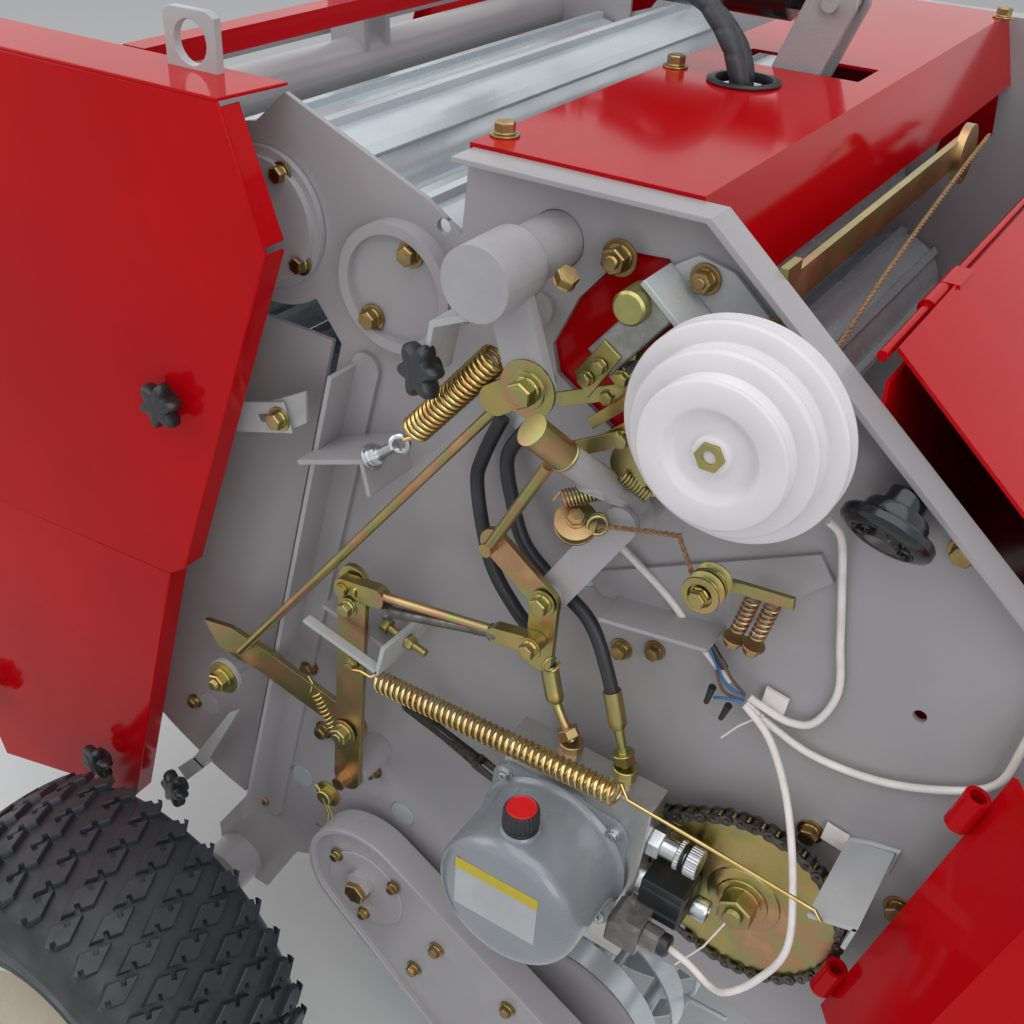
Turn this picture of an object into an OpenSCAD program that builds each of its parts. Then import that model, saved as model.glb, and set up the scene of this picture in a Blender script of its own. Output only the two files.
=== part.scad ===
// Small fixed-chamber round baler with a lifting rear gate, parked on its wheels and front leg.
// X runs forward to the hitch, Y to the left side and Z up, in millimetres.
// Inside the file X is measured from the bale chamber's centre; every piece is then moved
// so that the origin lies on the ground under the middle of the machine's outer box.

/* [Chamber] */
// Clear width between the two side plates
chamber_w = 840; // [780:5:900]
// Thickness of the side plates
plate_t = 5; // [4:0.5:6]
// Radius of the circle on which the rollers' axes lie
ring_r = 336; // [330:1:342]
// Height of the chamber's centre above the ground
chamber_z = 763; // [755:1:775]
// Angle between neighbouring rollers, in degrees
roller_pitch = 25; // [24.5:0.1:25.2]
// Outer diameter of a roller's tube
roller_d = 116; // [108:1:118]
// Height of the ribs that run along a roller
rib_h = 8; // [5:1:9]
// Diameter of the roller shafts
shaft_d = 30; // [25:1:35]

/* [Frame] */
// Height of the side plates' level top edge
plate_top = 1197; // [1185:1:1210]
// Front end of the side plates, ahead of the chamber's centre
plate_front = 780; // [760:1:800]
// Width of the flange folded outward along the plate's edge
flange_w = 26; // [20:1:32]
// Side of the square tube that carries the hitch
hitch_tube = 80; // [70:1:90]
// Distance between the two lower hitch pins' shoulders
hitch_span = 683; // [660:1:720]
// Diameter of the lower hitch pins
hitch_pin_d = 22; // [20:0.5:28]
// Height of the upper hitch hole above the lower pins
mast_h = 460; // [430:5:480]

/* [Wheels] */
// Outer diameter of a tyre
tyre_d = 455; // [440:1:470]
// Width of a tyre
tyre_w = 215; // [190:1:225]
// Distance between the two tyres' middle planes
track_w = 1306; // [1290:1:1340]
// Diameter of the rim's bead seat
rim_d = 203; // [195:1:215]
// Distance of the axle behind the chamber's centre
axle_back = 130; // [120:1:140]

/* [Gate] */
// Depth of the gate's side covers, outside the side plates
cover_depth = 76; // [70:1:84]
// Thickness of covers, hood and guards
sheet_t = 3; // [2:0.5:4]
// Largest opening angle of the gate, in degrees
gate_open = 55; // [45:1:60]
// Outer diameter of the lift cylinder's barrel
barrel_d = 50; // [44:1:56]
// Diameter of the lift cylinder's rod
rod_d = 25; // [20:1:30]

/* [Pickup] */
// Diameter over the pickup tines' tips
reel_d = 330; // [310:2:340]
// Diameter over the stripper bands
band_d = 236; // [226:2:246]
// Number of tine bars on the reel
tine_bars = 4; // [3:1:5]
// Number of tines on one bar
tines_per_bar = 12; // [10:1:13]

/* [Twine drive] */
// Diameters of the three steps of the twine pulley, front to back
pulley_steps = [111, 139, 165]; // [100:1:180]
// Width of one pulley step
step_w = 18; // [14:1:22]

/* [Hydraulics] */
// Outer diameter of the oil tank
tank_d = 125; // [115:1:132]
// Length of the oil tank
tank_l = 112; // [100:1:125]
// Outer diameter of the hydraulic hoses
hose_d = 12.5; // [11:0.5:14]
// Pitch of the pump chain
chain_pitch = 12.7; // [12.7:0.1:12.7]
// Teeth of the pump chain's large sprocket
sprocket_teeth = 43; // [43:1:43]

/* [Hidden] */
$fn = 48;

// Colours of the real finishes
red_paint = "#c4101c";
grey_paint = "#938f93";
zinc = "#b0924e";
white_plastic = "#e6e2e4";
black_rubber = "#1e2024";
steel = "#8d9298";

// Clearances
run_gap = 0.5;      // a shaft in its hole
side_gap = 6;       // a roller's end from its side plate
split_gap = 10;     // the gate's plate from the frame's plate
seat_gap = 0.3;     // a piece resting on its seat

// Places worked out from the driving sizes
skin_y = chamber_w / 2 + plate_t;
front_x = plate_front + 130;
rear_x = -540;
mid_x = (front_x + rear_x) / 2;
axle_z = tyre_d / 2;
rib_tip_r = roller_d / 2 + rib_h;
gate_pivot = ring_point(92);
frame_angles = [17, 42, 67, 92, 267, 292];
gate_angles = [117, 142, 167, 192, 217, 242];
tube_axis = [274, 1145];
cross_axis = [520, 610];
pickup_axis = [106, 377];
pivot_d = 30;
reel_axis = [322, 216];
lever_foot = [96, 537];
lever_top = [113, 795];
hook_pivot = [98, 603];
latch_pin = [-64, 596];
bell_pivot = [316, 862];
pulley_axis = [457, 1070];
tank_axis = [335, 605];
lug_pin = [318, 1262];
arm_pin = [-250, 1262];
beam_axis = [-245, 1118];
edge_top = [63, 999];
edge_foot = [-98, 362];
leg_y = 300;
guard_line = [[608, 549], [690, 867]];

function ring_point(a) = [ring_r * cos(a), chamber_z + ring_r * sin(a)];

// A place on the right side: x, z and the distance outside the side plate
function at(p, out) = [p[0], -skin_y - out, p[1]];

// A flat shape in the X-Z plane, between two distances outside the right side plate
module slab(out, t) {
    translate([0, -skin_y - out, 0]) rotate([90, 0, 0]) linear_extrude(t) children();
}

// A round bar across the machine on the right side, between two distances outside the plate
module pin(p, out, length, d) {
    translate(at(p, out)) rotate([90, 0, 0]) cylinder(d = d, h = length);
}

// A round bar between two points
module rod(p, q, d) {
    way = q - p;
    translate(p) rotate([0, acos(way[2] / norm(way)), atan2(way[1], way[0])]) cylinder(d = d, h = norm(way));
}

// A flat bar with round ends, as an outline; its ends stand a hair proud of its straight sides
end_step = 0.3;
module bar(p, q, w) {
    way = q - p;
    side = w - end_step;
    translate(p) rotate(atan2(way[1], way[0])) translate([0, -side / 2]) square([norm(way), side]);
    translate(p) circle(d = w);
    translate(q) circle(d = w);
}

module left() {
    mirror([0, 1, 0]) children();
}

module across(p, half, d) {
    translate([p[0], half, p[1]]) rotate([90, 0, 0]) cylinder(d = d, h = 2 * half);
}

// Outline of the frame's side plate
plate_tip = [13, plate_top + 10];
slope_end = [plate_front, 880];
module frame_plate_outline() {
    difference() {
        union() {
            translate(gate_pivot) circle(r = 80);
            polygon([
                edge_top, edge_foot, [-165, 262], [-165, 192], [-90, 192], [-35, 290], [40, 325],
                [150, 325], [230, 420], [464, 440], [640, 400], [plate_front, 352], slope_end,
                [404, plate_top], [194, plate_top], [188, 1128], [153, 1150], plate_tip, [-30, 1170], [-12, 1099]
            ]);
        }
        for (a = frame_angles)
            translate(ring_point(a)) circle(d = shaft_d + 2 * run_gap);
        translate(tube_axis) circle(d = 44 + 2 * run_gap);
        translate(cross_axis) circle(d = 35 + 2 * run_gap);
        polygon([[330, 985], [352, 1120], [395, 1120], [400, 1060]]);
    }
}

module side_plate() {
    slab(-plate_t, plate_t) frame_plate_outline();
    // Flanges folded outward along the top and down the slope
    slab(0, flange_w) {
        polygon([[194, plate_top], [404, plate_top], [402, plate_top - 4], [194, plate_top - 4]]);
        polygon([[404, plate_top], slope_end, slope_end - [3, 3], [401, plate_top - 4]]);
    }
    // Stub shaft on which the pickup swings
    pin(pickup_axis, 0, 56, pivot_d);
}

module side_plate_right() color(grey_paint) side_plate();

module side_plate_left() color(grey_paint) left() side_plate();

hitch_x = plate_front + hitch_tube / 2;
hitch_z = 400;
pin_x = hitch_x + 55;
mast_gap = 60;
mast_x = hitch_x + 20;
mast_z = hitch_z + mast_h;
leg_d = 56;
mast_t = 12;
pin_l = 70;
ear_t = 15;
module main_frame() color(grey_paint) {
    half = chamber_w / 2;
    // Axle beam and the stub axles outside the side plates
    translate([-axle_back - 35, -half, axle_z - 35]) cube([70, 2 * half, 70]);
    for (s = [-1, 1])
        translate([-axle_back, s * skin_y, axle_z]) rotate([-90 * s, 0, 0]) {
            cylinder(d = 66, h = 40);
            cylinder(d = 36, h = track_w / 2 - skin_y + 50);
        }
    // Hitch tube with the parking leg's sleeve, the ears and the lower pins
    difference() {
        union() {
            translate([plate_front, -skin_y, hitch_z - hitch_tube / 2]) cube([hitch_tube, 2 * skin_y, hitch_tube]);
            translate([hitch_x, leg_y, hitch_z - hitch_tube / 2]) cylinder(d = 76, h = hitch_tube + 20);
        }
        translate([hitch_x, leg_y, hitch_z - hitch_tube]) cylinder(d = leg_d + 2, h = 3 * hitch_tube);
    }
    for (s = [-1, 1]) {
        translate([plate_front + hitch_tube, s * (hitch_span / 2 - ear_t / 2) - ear_t / 2, hitch_z - 45])
            cube([50, ear_t, 90]);
        translate([pin_x, s * (hitch_span / 2 - ear_t), hitch_z]) rotate([-90 * s, 0, 0])
            cylinder(d = hitch_pin_d, h = pin_l + ear_t);
    }
    // A-shaped mast that leaves room for the drive shaft, with the upper hitch hole
    for (s = [-1, 1]) {
        translate([hitch_x - 8, 0, 0]) rotate([90, 0, 90]) linear_extrude(30)
            polygon([
                [s * 212, hitch_z + 38], [s * 172, hitch_z + 38], [s * mast_gap / 2, mast_z - 70],
                [s * mast_gap / 2, mast_z - 30], [s * (mast_gap / 2 + mast_t), mast_z - 24]
            ]);
        rod([mast_x - 10, s * (mast_gap / 2 + 6), mast_z - 50], [plate_front - 15, s * (half - 6), 735], 28);
        difference() {
            translate([mast_x, s * (mast_gap / 2 + mast_t / 2) + mast_t / 2, mast_z]) rotate([90, 0, 0])
                linear_extrude(mast_t) {
                    circle(d = 66);
                    translate([end_step / 2 - 33, -66]) square([66 - end_step, 66]);
                }
            translate([mast_x, 0, mast_z]) rotate([90, 0, 0]) cylinder(d = 19.5, h = 200, center = true);
        }
    }
}

// A ribbed roller lying across the machine at a point of the ring
module roller(p, reach) {
    rib_w = 10;
    ribs = 8;
    translate([p[0], 0, p[1]]) rotate([90, 0, 0]) {
        cylinder(d = roller_d, h = chamber_w - 2 * side_gap, center = true);
        cylinder(d = shaft_d, h = chamber_w + 2 * reach, center = true);
        for (k = [0 : ribs - 1])
            rotate(k * 360 / ribs) translate([roller_d / 2 - 3, -rib_w / 2, side_gap - chamber_w / 2])
                cube([rib_h + 3, rib_w, chamber_w - 2 * side_gap]);
    }
}

module frame_rollers() color(steel)
    for (a = frame_angles)
        roller(ring_point(a), a == 92 ? plate_t + drive_out - 1 : plate_t);

cover_rear = 190;
cover_ridge = 385;
cover_top = plate_top + 3;
module top_cover() color(red_paint)
    difference() {
        translate([0, chamber_w / 2 - seat_gap, 0]) rotate([90, 0, 0]) linear_extrude(chamber_w - 2 * seat_gap)
            polygon([
                [cover_rear, cover_top], [cover_ridge, cover_top], [cover_ridge + 22, 1122],
                [cover_ridge + 19, 1122], [cover_ridge - 3, cover_top - sheet_t],
                [cover_rear + sheet_t, cover_top - sheet_t], [cover_rear + sheet_t, 1172], [cover_rear, 1172]
            ]);
        translate([228, -30, 1150]) cube([130, 60, 100]);
        translate([276, -104, 1150]) cylinder(d = 60, h = 100);
    }

// An open channel on a box base, standing out from the plate, with its mouth to one side
module channel(p, angle, w, depth, out, t) {
    translate([p[0], -skin_y, p[1]]) rotate([0, -angle, 0]) translate([-w / 2, -out, 0])
        difference() {
            cube([w, out, depth]);
            translate([t, -1, t]) cube([w - 2 * t, out - 6 + 1, depth]);
        }
}

module right_brackets() color(grey_paint) {
    // Angle rib along the frame's rear edge
    slab(0, 5) bar([92, 985], [-68, 355], 30);
    slab(4, 34) bar([80, 985], [-80, 355], 5);
    // Cast cover of the second roller's bearing
    difference() {
        pin(ring_point(67), 0, 16, 112);
        pin(ring_point(67), 9, 30, 92);
    }
    // Post of the lever's foot
    difference() {
        pin(lever_foot, 0, 48, 34);
        pin(lever_foot, 28, 30, 16 + 2 * run_gap);
    }
    // Bracket of the long spring's wire
    channel([618, 684], 0, 46, 44, 96, 4);
    // Angle bracket of the eye bolt
    slab(0, 60) bar([60, 905], [130, 930], 5);
    slab(0, 60) bar([130, 930], [137, 900], 5);
    // Stop bracket beside the density lever
    slab(0, 48) bar([70, 741], [156, 722], 5);
    // Twine post
    rod(at([372, 955], 8), at([352, 1000], 70), 24);
    pin([370, 952], 0, 20, 34);
    // Bell crank's post
    slab(40, 6) bar([370, 952], bell_pivot, 30);
    pin(bell_pivot, 40, 12, 20);
    // Tensioner's channel
    slab(0, 4) polygon([[326, 864], [340, 846], [455, 860], [530, 940], [516, 960]]);
    slab(0, 40) polygon([[358, 849], [454, 861], [454, 865], [358, 853]]);
    // Spring arm's strap
    slab(0, 5) bar([225, 1098], [262, 1088], 28);
    slab(0, 55) bar([228, 1104], [230, 1086], 5);
}

// Front guards of both sides, with the rolled hinge loops of the side doors
guard_depth = 110;
guard_front = plate_front + 20;
guard_run = guard_line[1] - guard_line[0];
guard_tilt = atan2(guard_run[0], guard_run[1]);
guard_len = norm(guard_run);
guard_bend = 55;
loop_d = 20;
loop_out = 46;

// A strip that runs along the guard's slanted rear edge, drawn forward and outward of that edge
module edge_strip(near, far_x, far_out) {
    translate(at(guard_line[0], loop_out)) rotate([0, guard_tilt, 0]) linear_extrude(guard_len)
        polygon([[near, 0], [far_x, -far_out], [far_x + 4, -far_out], [near + 4, 0]]);
}

function edge_point(f, ahead) = guard_line[0] + f * guard_run
    + ahead * [cos(guard_tilt), -sin(guard_tilt)];

module front_guard() {
    edge_strip(0, guard_bend, guard_depth - loop_out);
    difference() {
        slab(0, guard_depth) polygon([
            edge_point(0, guard_bend), edge_point(1, guard_bend), [plate_front, 860], [guard_front, 845],
            [guard_front, 500], [700, 470]
        ]);
        slab(-1, guard_depth - sheet_t + 1) polygon([
            edge_point(0, guard_bend - 20), edge_point(1, guard_bend - 20) - [0, 4], [plate_front - 2, 856],
            [guard_front - 3, 842], [guard_front - 3, 503], [700, 474]
        ]);
    }
    for (f = [0.06, 0.8])
        difference() {
            rod(at(edge_point(f, -9), loop_out), at(edge_point(f + 0.1, -9), loop_out), loop_d);
            rod(at(edge_point(f - 0.01, -9), loop_out), at(edge_point(f + 0.11, -9), loop_out), 13);
        }
}

module front_guards() color(red_paint) {
    front_guard();
    left() front_guard();
}

// Left side door, hung on the front guard's loops
door_out = 104;
door_bend = 62;
door_outline = [
    edge_point(0.04, -door_bend), edge_point(1, -door_bend), [640, 985], [440, 1165], [85, 1165], [72, 1095],
    [-62, 770], [-86, 700], [-150, 520], [-140, 505], [400, 505]
];
module left_door() color(red_paint) left() {
    slab(door_out, sheet_t) polygon(door_outline);
    difference() {
        slab(door_out - 20, 20 + sheet_t / 2) polygon(door_outline);
        slab(door_out - 21, 22) offset(delta = -sheet_t) polygon(door_outline);
    }
    edge_strip(-26, -door_bend, door_out - loop_out + 1);
    for (f = [0.06, 0.8]) {
        rod(at(edge_point(f - 0.02, -9), loop_out), at(edge_point(f + 0.15, -9), loop_out), 12);
        slab(loop_out - 4, 8) bar(edge_point(f + 0.135, -9), edge_point(f + 0.135, -25), 8);
    }
}

box_rear = 532;
box_floor = 780;
hood_edge = [534, 1128];
hood_hinge = [526, 1121];
function hood_z(x) = hood_edge[1] + (x - hood_edge[0]) * (hood_end[1] - hood_edge[1]) / (hood_end[0] - hood_edge[0]);
hood_end = [plate_front + 18, 900];
module twine_box() color(red_paint) {
    half = chamber_w / 2 - seat_gap;
    front_top = hood_z(plate_front - 6) - sheet_t - 2 - seat_gap;
    translate([0, half, 0]) rotate([90, 0, 0]) linear_extrude(2 * half)
        polygon([
            [box_rear, 1104], [box_rear, box_floor], [plate_front - 6, box_floor], [plate_front - 6, front_top],
            [plate_front - 9, front_top], [plate_front - 9, box_floor + sheet_t],
            [box_rear + sheet_t, box_floor + sheet_t], [box_rear + sheet_t, 1104]
        ]);
    // Fixed knuckles and the hinge pin
    across(hood_hinge, half, 8);
    for (y = [-300, 300])
        translate([0, y + 20, 0]) rotate([90, 0, 0]) linear_extrude(40)
            union() {
                translate(hood_hinge) circle(d = 14);
                translate([box_rear - 3, 1090]) square([3, hood_hinge[1] - 1090]);
            }
}

module hood() color(red_paint) {
    half = chamber_w / 2 - 6;
    translate([0, half, 0]) rotate([90, 0, 0]) linear_extrude(2 * half)
        polygon([
            hood_edge, hood_end, hood_end - [0, 24], hood_end - [3, 24], hood_end - [3, 1.5], hood_edge - [0, 4]
        ]);
    for (y = [-238, 362])
        translate([0, y, 0]) rotate([90, 0, 0]) linear_extrude(40)
            difference() {
                union() {
                    translate(hood_hinge) circle(d = 14);
                    translate(hood_hinge + [0, 2]) square([12, 5]);
                }
                translate(hood_hinge) circle(d = 9);
            }
}

module gearbox() color(grey_paint) {
    translate([cross_axis[0] - 75, -75, cross_axis[1] - 75]) cube([150, 150, 150]);
    translate([cross_axis[0] + 74, 0, cross_axis[1]]) rotate([0, 90, 0]) cylinder(d = 100, h = 31);
    // Tubes round the cross shaft, out to the side plates
    across(cross_axis, chamber_w / 2, 60);
    across(cross_axis, 95, 96);
}

pto_end = plate_front + 20;
module cross_shaft() color(steel) {
    for (s = [-1, 1])
        translate([cross_axis[0], s * chamber_w / 2, cross_axis[1]]) rotate([-90 * s, 0, 0])
            cylinder(d = 35, h = plate_t + sprocket_out - seat_gap);
    translate([cross_axis[0] + 105, 0, cross_axis[1]]) rotate([0, 90, 0])
        cylinder(d = 35, h = pto_end - cross_axis[0] - 105);
}

// Roller drive on the left side: sprockets and the outline of their chain
sprocket_d = 104;
drive_out = 24;
module drive_chain() color(zinc) left() {
    for (a = frame_angles) {
        pin(ring_point(a), drive_out, 6, sprocket_d);
        if (a != 92)
            pin(ring_point(a), 0, drive_out, 50);
    }
    pin(cross_axis, drive_out, 6, 80);
}

crank_out = 70;
module torque_tube() color(grey_paint) {
    translate(at(tube_axis, 112)) rotate([-90, 0, 0]) cylinder(d = 44, h = 2 * skin_y + 112 + 30);
    pin(tube_axis, 60, 52, 56);
    slab(crank_out, 10) bar(tube_axis, [303, 1062], 36);
    for (s = [-1, 1])
        translate([0, s * 20 + 4, 0]) rotate([90, 0, 0]) linear_extrude(8)
            difference() {
                bar(tube_axis, lug_pin, 46);
                translate(lug_pin) circle(d = 16);
            }
    translate([lug_pin[0], 30, lug_pin[1]]) rotate([90, 0, 0]) cylinder(d = 16, h = 60);
}

rod_out = 62;
module latch_rod() color(zinc) {
    slab(crank_out - 8, 6) bar([303, 1062], [266, 1036], 26);
    rod(at([268, 1030], rod_out), at([-40, 640], rod_out - 6), 9);
}

hook_out = 42;
module latch_hook() color(zinc)
    difference() {
        slab(hook_out, 6) union() {
            bar(hook_pivot, [-20, 632], 34);
            polygon([[-20, 649], [-20, 615], [-50, 618], [-80, 622], [-98, 650], [-60, 656]]);
        }
        slab(hook_out - 1, 8) translate(hook_pivot) circle(d = 14);
    }

lever_out = 50;
module density_lever() color(zinc) {
    slab(lever_out, 6) bar(lever_top, lever_foot, 32);
    pin(lever_foot, lever_out - 14, 34, 15);
    pin(hook_pivot, hook_out - 6, 26, 13);
    pin(lever_top, lever_out, 26, 12);
}

// A close-coiled spring
module spring_body(p, q, d) {
    way = q - p;
    translate(p) rotate([0, acos(way[2] / norm(way)), atan2(way[1], way[0])]) cylinder(d = d, h = norm(way));
}

module density_spring() color(zinc) {
    p = at([150, 700], 66);
    q = at([410, 712], 78);
    spring_body(p, q, 18);
    rod(at([118, 696], 60), p, 4);
    rod(q, at([594, 706], 90), 4);
}

module crank_spring() color(zinc) {
    p = at([187, 980], 60);
    q = at([262, 1068], 60);
    spring_body(p, q, 14);
    rod(q, at([272, 1082], 60), 4);
    rod(at([140, 936], 57), p, 8);
}

module link_rod() color(zinc) {
    rod(at(lever_top + [12, 2], 64.6), at([300, 820], 64.6), 9);
    slab(58.6, 12) difference() {
        bar(lever_top, lever_top + [36, 4], 20);
        translate(lever_top) circle(d = 13);
    }
    slab(58.6, 12) bar([278, 816], [314, 822], 16);
}

module bell_crank() color(zinc) {
    slab(52 + seat_gap, 6) difference() {
        union() {
            bar([314, 802], bell_pivot, 26);
            bar(bell_pivot, [265, 899], 26);
        }
        translate(bell_pivot) circle(d = 10);
    }
    rod(at([265, 899], 66), at([328, 1010], 88), 10);
    pin([265, 899], 50, 22, 12);
}

module twine_bracket() color(grey_paint) {
    slab(0, 5) polygon([[405, 1130], [420, 1150], [520, 1046], [480, 1010], [425, 1010]]);
    slab(4, 40) polygon([[430, 1015], [438, 1010], [450, 1085], [442, 1090]]);
    pin(pulley_axis, 0, 52, 40);
}

module step_pulley() color(white_plastic) {
    out = 52;
    steps = len(pulley_steps);
    for (k = [0 : steps - 1])
        pin(pulley_axis, out + (steps - 1 - k) * step_w, step_w, pulley_steps[k]);
}

module twine_tensioner() color(zinc) {
    for (k = [0, 1])
        pin([452 - 6 * k, 934 - 10 * k], 44, 20, 28);
    for (x = [0, 16])
        rod(at([470 + x, 876], 24), at([480 + x, 925], 24), 10);
    pin([455, 930], 4, 60, 8);
}

module twine_bar() color(zinc) {
    translate([446, -400, 1130]) cube([6, 424, 26]);
    translate([450, 26, 1140]) rotate([0, 90, 0]) cylinder(d = 56, h = 8);
    translate([430, -chamber_w / 2 + seat_gap, 1120]) cube([40, 26, 44]);
}

module horn() color(black_rubber) {
    translate(at([563, 1014], 50)) rotate([60, 25, 0]) cylinder(d = 64, h = 14);
    rod(at([566, 1020], 44), at([570, 1030], 5), 22);
}

module oil_tank() color(steel)
    pin(tank_axis, 60, tank_l, tank_d);

module pump_block() color("#b9bcc0") {
    translate([tank_axis[0], -skin_y, tank_axis[1]]) rotate([0, -14, 0]) translate([-65, -60 + seat_gap, -80])
        cube([147, 60 - seat_gap, 148]);
    // Hose fittings on its upper face
    rod(at([350, 676], 44), at([346, 709], 44), 20);
    rod(at([404, 688], 44), at([400, 709], 44), 20);
}

module valve() color(black_rubber) {
    pin([400, 672], 60, 26, 24);
    pin([418, 602], 60, 48, 34);
}

// A point on the smooth curve between two points, steered by their neighbours
function curve_point(a, b, c, d, t) =
    0.5 * (2 * b + (c - a) * t + (2 * a - 5 * b + 4 * c - d) * t * t + (3 * b - a - 3 * c + d) * t * t * t);

function smooth(points, steps) = [
    for (k = [0 : len(points) - 2], j = [0 : steps - 1])
        curve_point(points[max(k - 1, 0)], points[k], points[k + 1], points[min(k + 2, len(points) - 1)], j / steps),
    points[len(points) - 1]
];

function unit(v) = v / norm(v);

function heading(points, k) = unit(points[min(k + 1, len(points) - 1)] - points[max(k - 1, 0)]);

// A round tube swept along a route that never runs straight across the machine
module tube(route, d, sides, steps) {
    points = smooth(route, steps);
    last = len(points) - 1;
    rings = [
        for (k = [0 : last], j = [0 : sides - 1])
            let (
                ahead = heading(points, k),
                over = unit(cross(ahead, [0, 1, 0])),
                side = cross(over, ahead)
            )
            points[k] + d / 2 * (cos(j * 360 / sides) * over + sin(j * 360 / sides) * side)
    ];
    walls = [
        for (k = [0 : last - 1], j = [0 : sides - 1])
            [k * sides + j, k * sides + (j + 1) % sides, (k + 1) * sides + (j + 1) % sides, (k + 1) * sides + j]
    ];
    ends = [[for (j = [sides - 1 : -1 : 0]) j], [for (j = [0 : sides - 1]) last * sides + j]];
    polyhedron(rings, concat(walls, ends));
}

hose_routes = [
    [[238, 986, 8], [226, 950, 16], [223, 920, 20], [244, 857, 28], [273, 818, 30], [305, 790, 32], [324, 744, 38],
        [346, 713, 44]],
    [[262, 984, 8], [248, 955, 14], [257, 918, 18], [275, 884, 24], [309, 860, 28], [347, 838, 32], [372, 795, 38],
        [388, 750, 42], [400, 713, 44]]
];
module hoses() color(black_rubber)
    for (route = hose_routes)
        tube([for (p = route) at([p[0], p[1]], p[2])], hose_d, 10, 4);

// Hoses that run from the cover's grommet to the lift cylinder's ports
lift_hose_routes = [
    [[276, -93, 1170], [262, -90, 1225], [200, -70, 1262], [120, -44, 1254], [64, -38, 1252]],
    [[284, -116, 1170], [262, -112, 1232], [196, -84, 1276], [120, -50, 1276], [64, -38, 1272]]
];
module lift_hoses() color(black_rubber)
    for (route = lift_hose_routes)
        tube(route, hose_d, 10, 4);

sprocket_r = chain_pitch / 2 / sin(180 / sprocket_teeth);
sprocket_out = 24;
module pump_sprocket() color(zinc) {
    pin(cross_axis, sprocket_out, 6, 2 * sprocket_r);
    difference() {
        pin(cross_axis, sprocket_out - 3, 12, 2 * sprocket_r + 9);
        pin(cross_axis, sprocket_out - 4, 14, 2 * sprocket_r - 10);
    }
    pin(cross_axis, sprocket_out + 5, 16, 30);
}

pickup_half = chamber_w / 2 - 12;
arm_out = 14;
left_arm_out = 34;
module pickup_frame() color(grey_paint) {
    for (s = [-1, 1])
        scale_y(s) {
            // Inner end plate of the pickup
            translate([0, -pickup_half + 6, 0]) rotate([90, 0, 0]) linear_extrude(6)
                difference() {
                    union() {
                        translate(reel_axis) circle(d = 240);
                        bar(deck_rear, floor_rear, 36);
                        polygon([deck_rear, floor_rear, reel_axis + [0, -100], reel_axis + [0, 100]]);
                    }
                    translate(reel_axis) circle(d = 36);
                }
            // Boss out to the arm
            difference() {
                translate([reel_axis[0], -pickup_half + 1, reel_axis[1]]) rotate([90, 0, 0])
                    cylinder(d = 70, h = skin_y + (s < 0 ? arm_out : left_arm_out) - pickup_half - 1);
                translate([reel_axis[0], -pickup_half + 10, reel_axis[1]]) rotate([90, 0, 0]) cylinder(d = 36, h = 200);
            }
        }
    // Plain arm on the left side
    left() slab(left_arm_out, 10) difference() {
        bar(pickup_axis, reel_axis, 90);
        translate(pickup_axis) circle(d = pivot_d + 2 * run_gap);
        translate(reel_axis) circle(d = 36);
    }
}

module scale_y(s) {
    mirror([0, s > 0 ? 1 : 0, 0]) children();
}

band_t = 3;
reel_half = pickup_half - 18;
deck_rear = reel_axis + [-160, 98];
floor_rear = reel_axis + [-160, -98];
band_pitch = (2 * pickup_half - 48) / tines_per_bar;
module pickup_bands() color(steel) {
    for (k = [0 : tines_per_bar])
        translate([0, -pickup_half + 24 + k * band_pitch + band_w / 2, 0]) rotate([90, 0, 0]) linear_extrude(band_w)
            band_outline();
    // Cross bars that carry the bands' ends, clear of the tines
    for (p = [deck_rear, floor_rear])
        across(p, pickup_half - 6, 20);
}

band_w = 30;
module band_outline() {
    r = band_d / 2;
    difference() {
        translate(reel_axis) circle(r = r);
        translate(reel_axis) circle(r = r - band_t);
        translate(reel_axis - [2 * r, 2 * r]) square([2 * r, 4 * r]);
    }
    bar(reel_axis + [-1, r - band_t / 2], deck_rear, band_t);
    bar(reel_axis + [-1, band_t / 2 - r], floor_rear, band_t);
}

module pickup_reel() color(steel) {
    across(reel_axis, pickup_half, 35);
    for (k = [0 : tine_bars - 1])
        turned(k * 360 / tine_bars) {
            translate([80, reel_half, 0]) rotate([90, 0, 0]) cylinder(d = 18, h = 2 * reel_half);
            for (n = [0 : tines_per_bar - 1])
                translate([80, -pickup_half + 24 + (n + 0.5) * band_pitch, 0]) rotate([0, 90, 0])
                    cylinder(d = 6, h = reel_d / 2 - 80);
        }
    for (y = [-reel_half + 6, 0, reel_half])
        translate([reel_axis[0], y, reel_axis[1]]) rotate([90, 0, 0]) cylinder(d = 190, h = 6);
}

module turned(a)
    translate([reel_axis[0], 0, reel_axis[1]]) rotate([0, -a, 0]) children();

module pickup_case() color(grey_paint)
    slab(arm_out, 36) difference() {
        bar(pickup_axis, reel_axis, 132);
        translate(pickup_axis) circle(d = pivot_d + 2 * run_gap);
    }

foot_w = 140;
module parking_leg() color(grey_paint) {
    translate([hitch_x, leg_y, 12]) cylinder(d = leg_d, h = hitch_z + 78);
    translate([hitch_x - foot_w / 2, leg_y - foot_w / 2, 0]) cube([foot_w, foot_w, 12]);
}

// Gate side plates, outside a clearance circle round the gate's pivot
gate_r = 430;
module gate_plate_outline() {
    difference() {
        union() {
            intersection() {
                translate([0, chamber_z]) circle(r = gate_r);
                polygon([
                    edge_top - [split_gap, 0], edge_foot - [split_gap, 0], [-130, 300], [-600, 300], [-600, 1200],
                    [-110, 1200], [-110, 1050], [-60, 1004]
                ]);
            }
            polygon([[-112, 1157], [-175, 1192], [-330, 1175], [-330, 1000], [-112, 1000]]);
        }
        translate(gate_pivot) circle(r = 80 + 8);
        for (a = gate_angles)
            translate(ring_point(a)) circle(d = shaft_d + 2 * run_gap);
    }
}

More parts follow.
